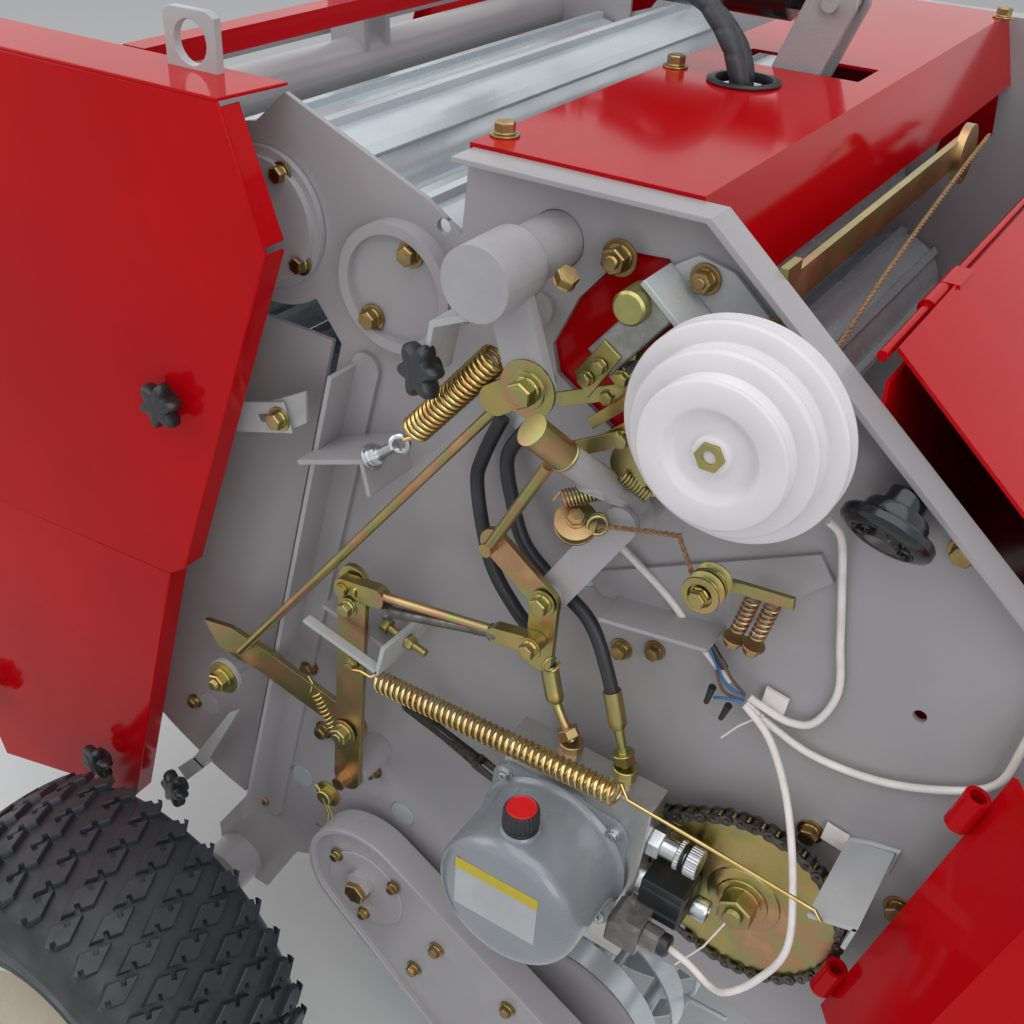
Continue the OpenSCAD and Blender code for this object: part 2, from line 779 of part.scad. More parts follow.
ear_out = 1;
module gate_plate() {
    slab(-plate_t, plate_t) gate_plate_outline();
    // Ear outside the frame's plate, on the pivot roller's shaft
    difference() {
        union() {
            slab(ear_out, 6) bar(gate_pivot, [-190, 1040], 124);
            pin(gate_pivot, ear_out, 12, 110);
            slab(0, ear_out + 1) translate([-200, 1036]) circle(d = 90);
        }
        pin(gate_pivot, -1, 40, shaft_d + 2 * run_gap);
    }
    // Latch pin with its washer
    pin(latch_pin, 0, 60, 16);
    pin(latch_pin, 54, 6, 40);
}

module gate_plates() color(grey_paint) {
    gate_plate();
    left() gate_plate();
}

module gate_rollers() color(steel)
    for (a = gate_angles)
        roller(ring_point(a), plate_t);

cover_edge = [
    [27, 1217], [61, 1107], [-91, 731], [-241, 318], [-502, 246], [-540, 420], [-540, 1010], [-470, 1217]
];
module gate_cover() {
    slab(cover_depth - sheet_t, sheet_t) polygon(cover_edge);
    difference() {
        slab(30, cover_depth - 30) polygon(cover_edge);
        slab(29, cover_depth - 28) offset(delta = -sheet_t) polygon(cover_edge);
    }
    // Top flange
    slab(0, cover_depth) polygon([[20, 1217], [20, 1214], [-470, 1214], [-470, 1217]]);
}

module gate_cover_right() color(red_paint) gate_cover();

module gate_cover_left() color(red_paint) left() gate_cover();

module gate_beam() color(grey_paint) {
    across(beam_axis, chamber_w / 2, 60);
    for (s = [-1, 1]) {
        translate([0, s * 20 + 4, 0]) rotate([90, 0, 0]) linear_extrude(8) bar(beam_axis, arm_pin, 50);
        translate([arm_pin[0], s * 27 + 4, arm_pin[1]]) rotate([90, 0, 0]) cylinder(d = 26, h = 8);
    }
    translate([-350, -chamber_w / 2, 1140]) cube([50, chamber_w, 5]);
    across([-330, 420], chamber_w / 2, 50);
}

barrel_l = 316;
module lift_barrel() color(black_rubber) {
    translate([lug_pin[0], 0, lug_pin[1]]) rotate([0, -90, 0]) difference() {
        union() {
            translate([0, 0, 44]) cylinder(d = barrel_d, h = barrel_l - 44);
            rotate([90, 0, 0]) cylinder(d = 38, h = 24, center = true);
            translate([-12, -12, 0]) cube([24, 24, 50]);
        }
        rotate([90, 0, 0]) cylinder(d = 16 + 2 * run_gap, h = 60, center = true);
        translate([0, 0, 56]) cylinder(d = rod_d + 2 * run_gap, h = barrel_l);
    }
    translate([lug_pin[0] - barrel_l, -46, lug_pin[1] - 20]) cube([60, 24, 40]);
}

module lift_rod() color(steel)
    difference() {
        union() {
            translate([arm_pin[0], 0, arm_pin[1]]) rotate([0, 90, 0]) cylinder(d = rod_d, h = 290);
            translate([arm_pin[0], 0, arm_pin[1]]) rotate([90, 0, 0]) cylinder(d = 40, h = 24, center = true);
        }
        translate([arm_pin[0], 0, arm_pin[1]]) rotate([90, 0, 0]) cylinder(d = 18, h = 60, center = true);
    }

tread_w = 190;
module tyre() {
    r = tyre_d / 2;
    w = tyre_w / 2;
    rotate([90, 0, 0]) rotate_extrude($fn = 96)
        polygon([
            [rim_d / 2, -w + 14], [rim_d / 2 + 12, -w + 8], [r - 70, -w], [r - 30, -w + 2], [r - 8, -tread_w / 2],
            [r, -tread_w / 2 + 16], [r, tread_w / 2 - 16], [r - 8, tread_w / 2], [r - 30, w - 2], [r - 70, w],
            [rim_d / 2 + 12, w - 8], [rim_d / 2, w - 14]
        ]);
}

module rim() {
    r = rim_d / 2;
    rotate([90, 0, 0]) rotate_extrude($fn = 96)
        polygon([
            [19, 4], [19, 20], [60, 20], [70, 10], [r - 12, 10], [r - 12, 88], [r - 0.3, 88], [r - 0.3, -88],
            [r - 12, -88], [r - 12, 4], [66, 4], [56, 14], [56, 4]
        ]);
}

module tyre_left() color(black_rubber) translate([-axle_back, track_w / 2, axle_z]) tyre();
module tyre_right() color(black_rubber) translate([-axle_back, -track_w / 2, axle_z]) tyre();
module rim_left() color("#d8cfc0") translate([-axle_back, track_w / 2, axle_z]) rim();
module rim_right() color("#d8cfc0") translate([-axle_back, -track_w / 2, axle_z]) mirror([0, 1, 0]) rim();

module placed() translate([-mid_x, 0, 0]) children();

placed() side_plate_right();
placed() side_plate_left();
placed() main_frame();
placed() frame_rollers();
placed() top_cover();
placed() right_brackets();
placed() front_guards();
placed() left_door();
placed() twine_box();
placed() hood();
placed() gearbox();
placed() cross_shaft();
placed() drive_chain();
placed() torque_tube();
placed() latch_rod();
placed() latch_hook();
placed() density_lever();
placed() density_spring();
placed() crank_spring();
placed() link_rod();
placed() bell_crank();
placed() twine_bracket();
placed() step_pulley();
placed() twine_tensioner();
placed() twine_bar();
placed() horn();
placed() oil_tank();
placed() pump_block();
placed() valve();
placed() hoses();
placed() lift_hoses();
placed() pump_sprocket();
placed() pickup_frame();
placed() pickup_bands();
placed() pickup_reel();
placed() pickup_case();
placed() parking_leg();
placed() gate_plates();
placed() gate_rollers();
placed() gate_cover_right();
placed() gate_cover_left();
placed() gate_beam();
placed() lift_barrel();
placed() lift_rod();
placed() tyre_left();
placed() tyre_right();
placed() rim_left();
placed() rim_right();
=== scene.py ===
import math
import random

import bmesh
import bpy
from mathutils import Matrix, Vector


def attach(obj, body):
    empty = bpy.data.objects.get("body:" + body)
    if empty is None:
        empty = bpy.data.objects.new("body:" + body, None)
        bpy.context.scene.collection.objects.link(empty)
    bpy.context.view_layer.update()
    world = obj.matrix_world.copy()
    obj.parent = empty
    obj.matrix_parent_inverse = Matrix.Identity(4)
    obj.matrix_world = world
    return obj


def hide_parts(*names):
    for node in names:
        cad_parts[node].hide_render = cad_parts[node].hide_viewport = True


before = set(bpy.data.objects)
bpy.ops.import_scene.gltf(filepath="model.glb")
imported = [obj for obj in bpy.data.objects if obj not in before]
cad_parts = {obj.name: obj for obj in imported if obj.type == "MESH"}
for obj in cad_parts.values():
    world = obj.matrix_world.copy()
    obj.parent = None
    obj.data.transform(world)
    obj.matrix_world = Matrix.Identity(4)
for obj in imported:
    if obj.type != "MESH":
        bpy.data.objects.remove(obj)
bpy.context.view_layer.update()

bl_info = {
    "name": "Small round baler",
    "version": (1, 0, 0),
    "blender": (4, 5, 0),
    "location": "3D View > Sidebar > Baler",
    "description": "Finishes, fasteners, springs, chain, tyres and cables of a small round baler",
    "category": "Object",
}

# Construction places are in millimetres: x forward of the chamber's centre, z above the
# ground, and out, the distance outside the right side plate's face.
MID_X = 185  # the frame's origin, forward of the chamber's centre
SKIN_Y = 425  # the right side plate's outer face
CROSS_AXIS = (520, 610)
TANK_AXIS = (348, 606)
TANK_R = 70
TANK_OUT = 66
BLOCK_TILT = math.radians(4)
PULLEY_AXIS = (457, 1070)
AXLE = (-130, 227.5)
TRACK = 1306
OUTWARD = Vector((0, -1, 0))
UP = Vector((0, 0, 1))
FULL_TURN = 2 * math.pi


def at(x, z, out):
    """A place on the right side, in construction millimetres."""
    return Vector((x, -SKIN_Y - out, z))


def facing(place, direction, spin=0.0):
    """A matrix whose z axis looks along the direction and whose origin is the place."""
    turn = Vector(direction).to_track_quat("Z", "Y").to_matrix().to_4x4()
    return Matrix.Translation(place) @ turn @ Matrix.Rotation(spin, 4, "Z")


def outward(x, z, out):
    """A matrix at a place on the right side whose z axis points away from the machine."""
    return facing(at(x, z, out), OUTWARD)


def upright(y):
    """A matrix that lays an outline of x and z flat in a plane across the machine at y."""
    return Matrix(((1, 0, 0, 0), (0, 0, -1, y), (0, 1, 0, 0), (0, 0, 0, 1)))


def side_on(out):
    """A matrix that lays an outline of x and z flat on the right side, with depth outward."""
    return upright(-SKIN_Y - out)


# Materials


def linear(hex_colour):
    """The linear colour of an sRGB hex value."""
    parts = [int(hex_colour[k:k + 2], 16) / 255 for k in (1, 3, 5)]
    return tuple(p / 12.92 if p <= 0.04045 else ((p + 0.055) / 1.055) ** 2.4 for p in parts) + (1.0,)


def add_node(tree, kind, settings=None, links=None):
    """Adds a node, sets its sockets or properties by name, and links its inputs, named or
    numbered, to outputs."""
    node = tree.nodes.new(kind)
    for name, value in (settings or {}).items():
        if name in node.inputs:
            node.inputs[name].default_value = value
        else:
            setattr(node, name, value)
    for name, source in (links or {}).items():
        tree.links.new(source, node.inputs[name])
    return node


def cleared_tree(owner):
    """The empty node tree of a material or world."""
    owner.use_nodes = True
    owner.node_tree.nodes.clear()
    return owner.node_tree


def ramp(tree, source, stops):
    """A colour ramp from a table of position and hex colour."""
    node = add_node(tree, "ShaderNodeValToRGB", links={"Fac": source})
    while len(node.color_ramp.elements) < len(stops):
        node.color_ramp.elements.new(0.5)
    for element, (position, colour) in zip(node.color_ramp.elements, stops):
        element.position = position
        element.color = linear(colour)
    return node.outputs["Color"]


MATERIALS = {}
TWO_TONES = (0.3, 0.7)


def finish(name, tones, patch_mm, roughness, rough_swing, grain_mm, grain_depth, edge=0.0,
           metallic=0.0, coat=0.0, **shader):
    """A material: patches of two tones, or of a table of position and tone, of a real size,
    roughness that swings with them, a grain as bump and, where edge is given, rounded edges of
    that radius. Constants sit on the shader's sockets."""
    material = bpy.data.materials.new(name)
    tree = cleared_tree(material)
    stops = list(zip(TWO_TONES, tones)) if isinstance(tones[0], str) else tones
    place = add_node(tree, "ShaderNodeTexCoord").outputs["Object"]
    patch = add_node(tree, "ShaderNodeTexNoise", {"Scale": 1000 / patch_mm, "Detail": 4.0, "Roughness": 0.55},
                     {"Vector": place})
    swing = add_node(tree, "ShaderNodeMapRange",
                     {"From Min": TWO_TONES[0], "From Max": TWO_TONES[1],
                      "To Min": roughness - rough_swing, "To Max": roughness + rough_swing},
                     {"Value": patch.outputs["Fac"]})
    grain = add_node(tree, "ShaderNodeTexNoise", {"Scale": 1000 / grain_mm, "Detail": 2.0}, {"Vector": place})
    bump = add_node(tree, "ShaderNodeBump", {"Strength": 1.0, "Distance": grain_depth / 1000},
                    {"Height": grain.outputs["Fac"]})
    if edge:
        round_off = add_node(tree, "ShaderNodeBevel", {"Radius": edge / 1000, "samples": 4})
        tree.links.new(round_off.outputs["Normal"], bump.inputs["Normal"])
    constants = {key.replace("_", " "): value for key, value in shader.items()}
    surface = add_node(
        tree, "ShaderNodeBsdfPrincipled", {"Metallic": metallic, "Coat Weight": coat, **constants},
        {"Base Color": ramp(tree, patch.outputs["Fac"], stops), "Roughness": swing.outputs["Result"],
         "Normal": bump.outputs["Normal"]})
    add_node(tree, "ShaderNodeOutputMaterial", links={"Surface": surface.outputs["BSDF"]})
    MATERIALS[name] = material


def make_materials(look):
    """Makes every finish of the machine."""
    # Sprayed alkyd enamel: a wet, bright red with a faint orange peel that breaks up reflections
    finish("red_enamel", (look.red, look.red_deep), 260, 0.12, 0.04, 5, 0.03, 0.6, coat=0.06,
           Coat_Roughness=0.05, Specular_IOR_Level=0.07)
    # Warm grey machinery enamel over rolled sheet: satin, dusty, with soft runs
    finish("grey_enamel", (look.grey, look.grey_deep), 190, 0.34, 0.07, 4, 0.04, 1.3, coat=0.15,
           Coat_Roughness=0.25)
    # The same enamel on a sand-cast part: coarse skin under the paint
    finish("cast_grey", ("#a9a7a8", "#9b989a"), 60, 0.42, 0.08, 2.2, 0.28, 1.5)
    # Silver enamel on the drawn roller tubes: brighter than the plates, long soft streaks
    finish("roller_silver", ("#ccd4d8", "#bac3c8"), 140, 0.26, 0.08, 7, 0.05, 1.2, metallic=0.35)
    # Yellow chromate on zinc: gold with green and rose clouds
    finish("yellow_zinc", [(0.26, "#bea270"), (0.4, "#ae9e62"), (0.5, "#9c9a66"), (0.6, "#b48c6a"),
                           (0.74, "#c0a878")], 60, 0.34, 0.07, 1.4, 0.02, 0.7, metallic=1.0)
    # Yellow chromate on a spring's drawn wire: paler and brighter
    finish("spring_zinc", [(0.3, "#d9c48c"), (0.55, "#c9ad6a"), (0.75, "#c2926a")], 12, 0.22, 0.05, 1.0,
           0.01, metallic=1.0)
    # Bright zinc on plates and fittings: cool white metal
    finish("bright_zinc", ("#c9ccce", "#a9adb0"), 25, 0.28, 0.08, 1.2, 0.02, 0.5, metallic=1.0)
    # Turned white polyethylene: waxy, slightly translucent
    finish("turned_polyethylene", ("#e2dee0", "#d8d4d7"), 80, 0.42, 0.06, 3, 0.02, 0.8,
           Subsurface_Weight=0.06, Subsurface_Scale=0.01)
    # Moulded black plastic of the knobs: satin, with a faint mould grain
    finish("black_plastic", ("#26282b", "#1d1f22"), 18, 0.38, 0.06, 0.8, 0.03, 0.8)
    # Moulded phenolic of the horn: black with a polished gloss
    finish("black_gloss_plastic", ("#1c1e21", "#15171a"), 18, 0.16, 0.04, 2, 0.01, 0.8)
    # Smoked polycarbonate of the valve's connector, read as grey moulding with a gloss
    finish("smoked_polycarbonate", ("#6f6964", "#57524e"), 8, 0.15, 0.05, 2, 0.02, 0.5)
    # The frame's enamel on a new bracket: paler and cleaner
    finish("bright_grey_enamel", ("#b9bbbb", "#a8a9aa"), 60, 0.3, 0.06, 3, 0.04, 0.8)
    # Extruded hose rubber: dull black
    finish("hose_rubber", ("#2a2b30", "#1e1f23"), 30, 0.48, 0.08, 1.5, 0.03)
    # Moulded tyre rubber: blue-black, greyer where it has been handled
    finish("tyre_rubber", [(0.3, "#33363b"), (0.6, "#26292d"), (0.8, "#1f2225")], 35, 0.5, 0.1, 1.6,
           0.06)
    # Cream enamel of the wheel rims: smooth and glossy
    finish("cream_enamel", ("#ddd4c6", "#d2c8b8"), 90, 0.28, 0.06, 4, 0.03, 1.0, coat=0.3)
    # Mid grey hammered enamel of the oil tank: glossy over shallow dimples
    finish("tank_enamel", ("#868c93", "#7a8087"), 70, 0.26, 0.05, 2.5, 0.05, coat=0.5)
    # Milled aluminium of the pump block: pale, with fine cutter marks
    finish("milled_aluminium", ("#c6c6c4", "#b3b2b0"), 40, 0.36, 0.08, 0.9, 0.03, 0.8, metallic=0.9)
    # Black enamel of the lift cylinder: deep gloss
    finish("black_enamel", ("#17181a", "#101113"), 90, 0.14, 0.04, 4, 0.02, 1.0, coat=0.5)
    # Hard chrome on the lift rod: a clear mirror
    finish("hard_chrome", ("#dcdee0", "#d0d2d5"), 90, 0.08, 0.03, 3, 0.003, metallic=1.0)
    # Oiled steel of the roller chain: brown where the oil has caught dust
    finish("oiled_chain", ("#6b6660", "#3f3c3a"), 6, 0.34, 0.08, 0.8, 0.02, metallic=0.9)
    # White PVC cable sheath, a little grubby
    finish("white_cable", [(0.3, "#ece7e4"), (0.75, "#d9d1cc")], 20, 0.36, 0.06, 1.0, 0.01)
    # Twisted sisal twine, drawn with coarse fibres so that they show
    finish("sisal_twine", ("#a5805a", "#75573c"), 3, 0.8, 0.08, 0.5, 0.3)
    # Red plastic of the filler cap: clean and satin
    finish("red_plastic", ("#e0191d", "#cf1518"), 12, 0.35, 0.05, 0.8, 0.02, 0.5)
    # Blank self-adhesive label: silvery grey
    finish("blank_label", ("#b4b6b8", "#a8aaad"), 30, 0.3, 0.06, 2, 0.01)
    # Blank yellow band of that label
    finish("yellow_label", ("#c9b71c", "#bba818"), 30, 0.3, 0.06, 2, 0.01)
    # Coloured PVC of the thin wires' ends
    finish("brown_wire", ("#6b4434", "#5c3a2c"), 8, 0.4, 0.05, 0.6, 0.01)
    finish("blue_wire", ("#2c78b8", "#2468a4"), 8, 0.4, 0.05, 0.6, 0.01)
    # Rough aluminium of the knotter's pressure casting
    finish("rough_casting", ("#a3a4a2", "#8a8b89"), 9, 0.5, 0.08, 2.4, 0.35, 0.8, metallic=0.35)
    # Greenish chromate of the knotter's plates
    finish("green_zinc", [(0.3, "#b5a66c"), (0.55, "#9c9a62"), (0.75, "#b08c60")], 30, 0.36, 0.07, 1.4,
           0.02, 0.6, metallic=0.9)
    # Browned chromate on the bolts' small heads
    finish("bronze_zinc", [(0.3, "#a8905c"), (0.55, "#8e7a54"), (0.75, "#96704c")], 14, 0.36, 0.08, 1.0,
           0.02, 0.5, metallic=1.0)
    # Bare mild steel with mill scale, as on the link rod's thread
    finish("dark_steel", ("#77756f", "#55524d"), 10, 0.45, 0.1, 0.9, 0.05, 0.5, metallic=0.8)


# Shapes


def polar(radius, angle):
    """A point at a radius and an angle."""
    return (radius * math.cos(angle), radius * math.sin(angle))


def reach(outline):
    """The longest side of an outline's box."""
    return max(max(p[k] for p in outline) - min(p[k] for p in outline) for k in (0, 1))


# A bolt's proportions, as shares of its head's width across the flats
HEAD_HEIGHT = 0.62
WASHER_R = 0.78
THREAD_R = 0.3
THREAD_STEP = 0.8


class Shape:
    """Vertices and faces of one piece, in construction millimetres."""

    def __init__(self):
        self.points = []
        self.faces = []

    def rings(self, rings, closed=False, capped=True):
        """Joins rings of equal length by quads, and caps the ends."""
        first = len(self.points)
        count = len(rings[0])
        for ring in rings:
            self.points.extend(ring)
        for r in range(len(rings) if closed else len(rings) - 1):
            low = first + r * count
            high = first + (r + 1) % len(rings) * count
            for k in range(count):
                n = (k + 1) % count
                self.faces.append((low + k, low + n, high + n, high + k))
        if capped and not closed:
            self.faces.append(tuple(first + k for k in reversed(range(count))))
            self.faces.append(tuple(first + (len(rings) - 1) * count + k for k in range(count)))

    def levels(self, place, outline, table):
        """Rings of one outline, from a table of its scale and its height."""
        self.rings([[place @ Vector((x * s, y * s, h)) for x, y in outline] for s, h in table])

    def lathe(self, place, profile, sides=32, capped=True):
        """Turns a profile of radius and height round the place's z axis."""
        self.rings([[place @ Vector((*polar(r, FULL_TURN * k / sides), h)) for k in range(sides)]
                    for r, h in profile], capped=capped)

    def prism(self, place, outline, low, high, taper=0.0):
        """Extrudes an outline along the place's z axis, with a small chamfer at the top."""
        cx = sum(p[0] for p in outline) / len(outline)
        cy = sum(p[1] for p in outline) / len(outline)
        levels = [(1.0, low), (1.0, high)] if not taper else [
            (1.0, low), (1.0, high - taper), (1.0 - 2 * taper / reach(outline), high)]
        self.rings([[place @ Vector((cx + (x - cx) * s, cy + (y - cy) * s, h)) for x, y in outline]
                    for s, h in levels])

    def plate(self, out, outline, thick, taper=0.0):
        """A flat plate on the right side, from out outward."""
        self.prism(side_on(out), outline, 0, thick, taper)

    def strap(self, out, a, b, width, thick, taper=0.0):
        """A flat strap on the right side between two points of x and z."""
        a, b = Vector(a), Vector(b)
        way = (b - a).normalized()
        side = Vector((-way.y, way.x)) * width / 2
        self.plate(out, [tuple(p) for p in (a - side, b - side, b + side, a + side)], thick, taper)

    def across(self, outline, low_y, high_y):
        """A bar across the machine, from its outline of x and z."""
        self.rings([[Vector((x, y, z)) for x, z in outline] for y in (low_y, high_y)])

    def sweep(self, line, radius, sides=8, twist=None):
        """A round tube along a line of points; radius is a number or one for each point."""
        count = len(line)
        radii = radius if isinstance(radius, list) else [radius] * count
        normal = None
        rings = []
        for k, point in enumerate(line):
            ahead = line[k + 1] if k < count - 1 else point
            behind = line[k - 1] if k else point
            way = (ahead - behind).normalized()
            if normal is None:
                normal = way.orthogonal().normalized()
            normal = (normal - way * normal.dot(way)).normalized()
            other = way.cross(normal)
            ring = []
            for j in range(sides):
                angle = FULL_TURN * j / sides
                swell = twist(k, angle) if twist else 1.0
                ring.append(point + (math.cos(angle) * normal + math.sin(angle) * other) * radii[k] * swell)
            rings.append(ring)
        self.rings(rings)

    def wire(self, places, radius, sides=6):
        """A wire through places of the right side."""
        self.sweep([at(*p) for p in places], radius, sides)

    def bolt(self, place, direction, across=17, spin=0.2, washer=True, stub=0):
        """A hexagon bolt head or, with a stub of thread, a nut, on its washer."""
        stand = facing(place, direction, spin)
        base = 0
        if washer:
            inner, outer = across * THREAD_R, across * WASHER_R
            self.lathe(stand, [(inner, 0), (outer, 0), (across * 0.8, 0.8), (outer, 2), (inner, 2.1)], 24)
            base = 2
        top = base + across * HEAD_HEIGHT
        neck = across * 0.56
        self.lathe(stand, [(neck, base), (across * 0.6, base + 0.6), (neck, base + 1.4)], 20)
        self.levels(stand, hexagon(across), ((1, base + 1), (1, top - 1.2), (0.9, top)))
        if stub:
            thread = [(across * (THREAD_R if k % 2 else 0.26), top + k * THREAD_STEP)
                      for k in range(int(stub / THREAD_STEP))]
            self.lathe(stand, [(across * THREAD_R, top - 1)] + thread, 16)
        else:
            self.lathe(stand, [(across * 0.36, top - 0.2), (across * 0.34, top + 0.1)], 16)

    def nut(self, place, direction, across, spin=0.2):
        """A hexagon head without a washer."""
        self.bolt(place, direction, across, spin, washer=False)

    def head(self, x, z, out, across, spin=0.2, washer=True, stub=0):
        """A bolt or nut that looks out of the right side."""
        self.bolt(at(x, z, out), OUTWARD, across, spin, washer, stub)

    def mirrored(self):
        """The same shape on the machine's other side."""
        other = Shape()
        other.points = [Vector((p.x, -p.y, p.z)) for p in self.points]
        other.faces = list(self.faces)
        return other

    def mesh(self, name):
        """The shape's mesh in the row frame, its faces turned outward."""
        mesh = bpy.data.meshes.new(name)
        moved = [((p.x - MID_X) / 1000, p.y / 1000, p.z / 1000) for p in self.points]
        mesh.from_pydata(moved, [], self.faces)
        solid = bmesh.new()
        solid.from_mesh(mesh)
        bmesh.ops.recalc_face_normals(solid, faces=solid.faces)
        solid.to_mesh(mesh)
        solid.free()
        return mesh

    def make(self, name, material, body="root", smooth=30, bevel=0.0, replaces=(), slot=None):
        """Makes the piece with its finish, and rides it on its body."""
        mesh = self.mesh(name)
        mesh.polygons.foreach_set("use_smooth", [True] * len(mesh.polygons))
        mesh.set_sharp_from_angle(angle=math.radians(smooth))
        mesh.materials.append(MATERIALS[material])
        piece = bpy.data.objects.new(name, mesh)
        bpy.context.scene.collection.objects.link(piece)
        if bevel:
            rounding = piece.modifiers.new("edge", "BEVEL")
            rounding.width = bevel / 1000
            rounding.segments = 2
            rounding.limit_method = "ANGLE"
            rounding.angle_limit = math.radians(40)
        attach(piece, body)
        if replaces:
            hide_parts(*replaces)


def smooth_line(points, steps=8):
    """A smooth curve through the points."""
    line = []
    last = len(points) - 1
    for k in range(last):
        a, b, c, d = (points[max(k - 1, 0)], points[k], points[k + 1], points[min(k + 2, last)])
        for j in range(steps):
            t = j / steps
            line.append(0.5 * (2 * b + (c - a) * t + (2 * a - 5 * b + 4 * c - d) * t ** 2
                               + (3 * b - a - 3 * c + d) * t ** 3))
    return line + [points[last]]


def evenly(line, gap):
    """The same line with points an even gap apart."""
    result = [line[0]]
    carried = 0.0
    for a, b in zip(line, line[1:]):
        length = (b - a).length
        while carried + length >= gap:
            share = (gap - carried) / length
            a = a + (b - a) * share
            result.append(a)
            length = (b - a).length
            carried = 0.0
        carried += length
    return result + [line[-1]]


def route(places, gap):
    """An even, smooth line through places of the right side."""
    return evenly(smooth_line([at(*p) for p in places]), gap)


def arc(centre, radius, start, end, steps):
    """Points of a circular arc in an outline, in degrees."""
    points = [polar(radius, math.radians(start + (end - start) * k / steps)) for k in range(steps + 1)]
    return [(centre[0] + x, centre[1] + z) for x, z in points]


def hexagon(across):
    """A hexagon's outline from its width across the flats."""
    return arc((0, 0), across / math.sqrt(3), 0, 300, 5)


def box_outline(low_x, low_z, high_x, high_z):
    """A rectangle's corners."""
    return [(low_x, low_z), (high_x, low_z), (high_x, high_z), (low_x, high_z)]


def helix(start, end, radius, turns, steps=14):
    """Points of a coil between two places."""
    way = end - start
    side = way.orthogonal().normalized()
    other = way.normalized().cross(side)
    total = turns * steps
    return [start + way * (k / total) + radius * (math.cos(FULL_TURN * k / steps) * side
                                                  + math.sin(FULL_TURN * k / steps) * other)
            for k in range(total + 1)]


def spring(name, start, end, radius, wire, turns, first_hook, last_hook, replaces=()):
    """A coil spring between two places, with its two hooks given as lists of places."""
    shape = Shape()
    coil = helix(at(*start), at(*end), radius - wire / 2, turns)
    hooks = [[at(*p) for p in hook] for hook in (first_hook, last_hook)]
    shape.sweep([*hooks[0], *coil, *hooks[1]], wire / 2)
    shape.make(name, "spring_zinc", smooth=60, replaces=replaces)


# Settings a user would change


class BalerSizes(bpy.types.PropertyGroup):
    """Sizes of the dressed pieces."""

    chain_pitch: bpy.props.FloatProperty(
        name="Chain pitch", description="Pitch of the pump chain, in mm", default=12.7, min=8.0)
    chain_teeth: bpy.props.IntProperty(
        name="Sprocket teeth", description="Teeth of the large pump sprocket", default=43, min=11)
    tread_rows: bpy.props.IntProperty(
        name="Tread rows", description="Rows of turf blocks round a tyre", default=34, min=12)
    tread_columns: bpy.props.IntProperty(
        name="Tread columns", description="Turf blocks across a tyre", default=5, min=3)
    tread_depth: bpy.props.FloatProperty(
        name="Tread depth", description="Height of the turf blocks, in mm", default=7.0, min=2.0)


class BalerColours(bpy.types.PropertyGroup):
    """Colours of the machine's paints, as sRGB hex values."""

    red: bpy.props.StringProperty(
        name="Red enamel", description="Covers, hood and guards", default="#bd0610")
    red_deep: bpy.props.StringProperty(
        name="Deep red", description="Second tone of the red", default="#ad040e")
    grey: bpy.props.StringProperty(
        name="Grey enamel", description="Frame and brackets", default="#a5a2a4")
    grey_deep: bpy.props.StringProperty(
        name="Deep grey", description="Second tone of the grey", default="#9a9799")


class BalerOperator:
    """What the operators share."""

    bl_options = {"REGISTER", "UNDO"}

    @property
    def sizes(self):
        return bpy.context.scene.baler_sizes


NODE_FINISH = {
    "red_enamel": ["top_cover", "front_guards", "left_door", "twine_box", "hood", "gate_cover_right",
                   "gate_cover_left"],
    "roller_silver": ["frame_rollers", "gate_rollers", "pickup_bands", "pickup_reel", "cross_shaft"],
    "yellow_zinc": ["drive_chain", "latch_rod", "latch_hook", "density_lever", "density_spring",
                    "crank_spring", "link_rod", "bell_crank", "twine_tensioner", "twine_bar",
                    "pump_sprocket"],
    "turned_polyethylene": ["step_pulley"],
    "hose_rubber": ["hoses", "lift_hoses"],
    "black_plastic": ["horn", "valve"],
    "tank_enamel": ["oil_tank"],
    "milled_aluminium": ["pump_block"],
    "black_enamel": ["lift_barrel"],
    "hard_chrome": ["lift_rod"],
    "tyre_rubber": ["tyre_left", "tyre_right"],
    "cream_enamel": ["rim_left", "rim_right"],
    "cast_grey": ["torque_tube", "gearbox"],
}


class BALER_OT_finishes(BalerOperator, bpy.types.Operator):
    """Makes the materials and gives every construction node its own"""

    bl_idname = "baler.finishes"
    bl_label = "Finishes"

    def execute(self, context):
        make_materials(context.scene.baler_colours)
        by_node = {node: name for name, nodes in NODE_FINISH.items() for node in nodes}
        for node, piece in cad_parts.items():
            piece.data.materials.clear()
            piece.data.materials.append(MATERIALS[by_node.get(node, "grey_enamel")])
        return {"FINISHED"}


# Bolts and nuts on the right side: x, z, out, width across flats, length of thread that shows
PLATE_BOLTS = [
    (13, 1143, 9, 13, 0), (30, 1068, 9, 13, 0), (147, 1106, 10, 15, 0), (107, 1040, 10, 15, 0),
    (398, 1147, 6, 15, 3), (454, 1121, 6, 15, 3), (612, 1000, 0, 15, 0), (364, 797, 0, 13, 0),
    (25, 560, 0, 14, 0), (62, 545, 0, 14, 0), (20, 520, 0, 14, 0), (88, 498, 0, 14, 0), (5, 604, 0, 14, 0),
    (556, 690, 0, 15, 0), (640, 650, 0, 16, 0), (395, 810, 0, 12, 0), (-181, 460, 0, 12, 0),
    (-76, 359, 0, 12, 0), (246, 1090, 9, 15, 0),
]
FLANGE_OUT = 9  # bolts this far out hold the rollers' flanges, which the left side has too
# Bolts on the top cover: x and y, and the cover's height
COVER_TOP_BOLTS = ((201, -388), (203, -95), (203, 230), (386, 388))
COVER_TOP = 1200


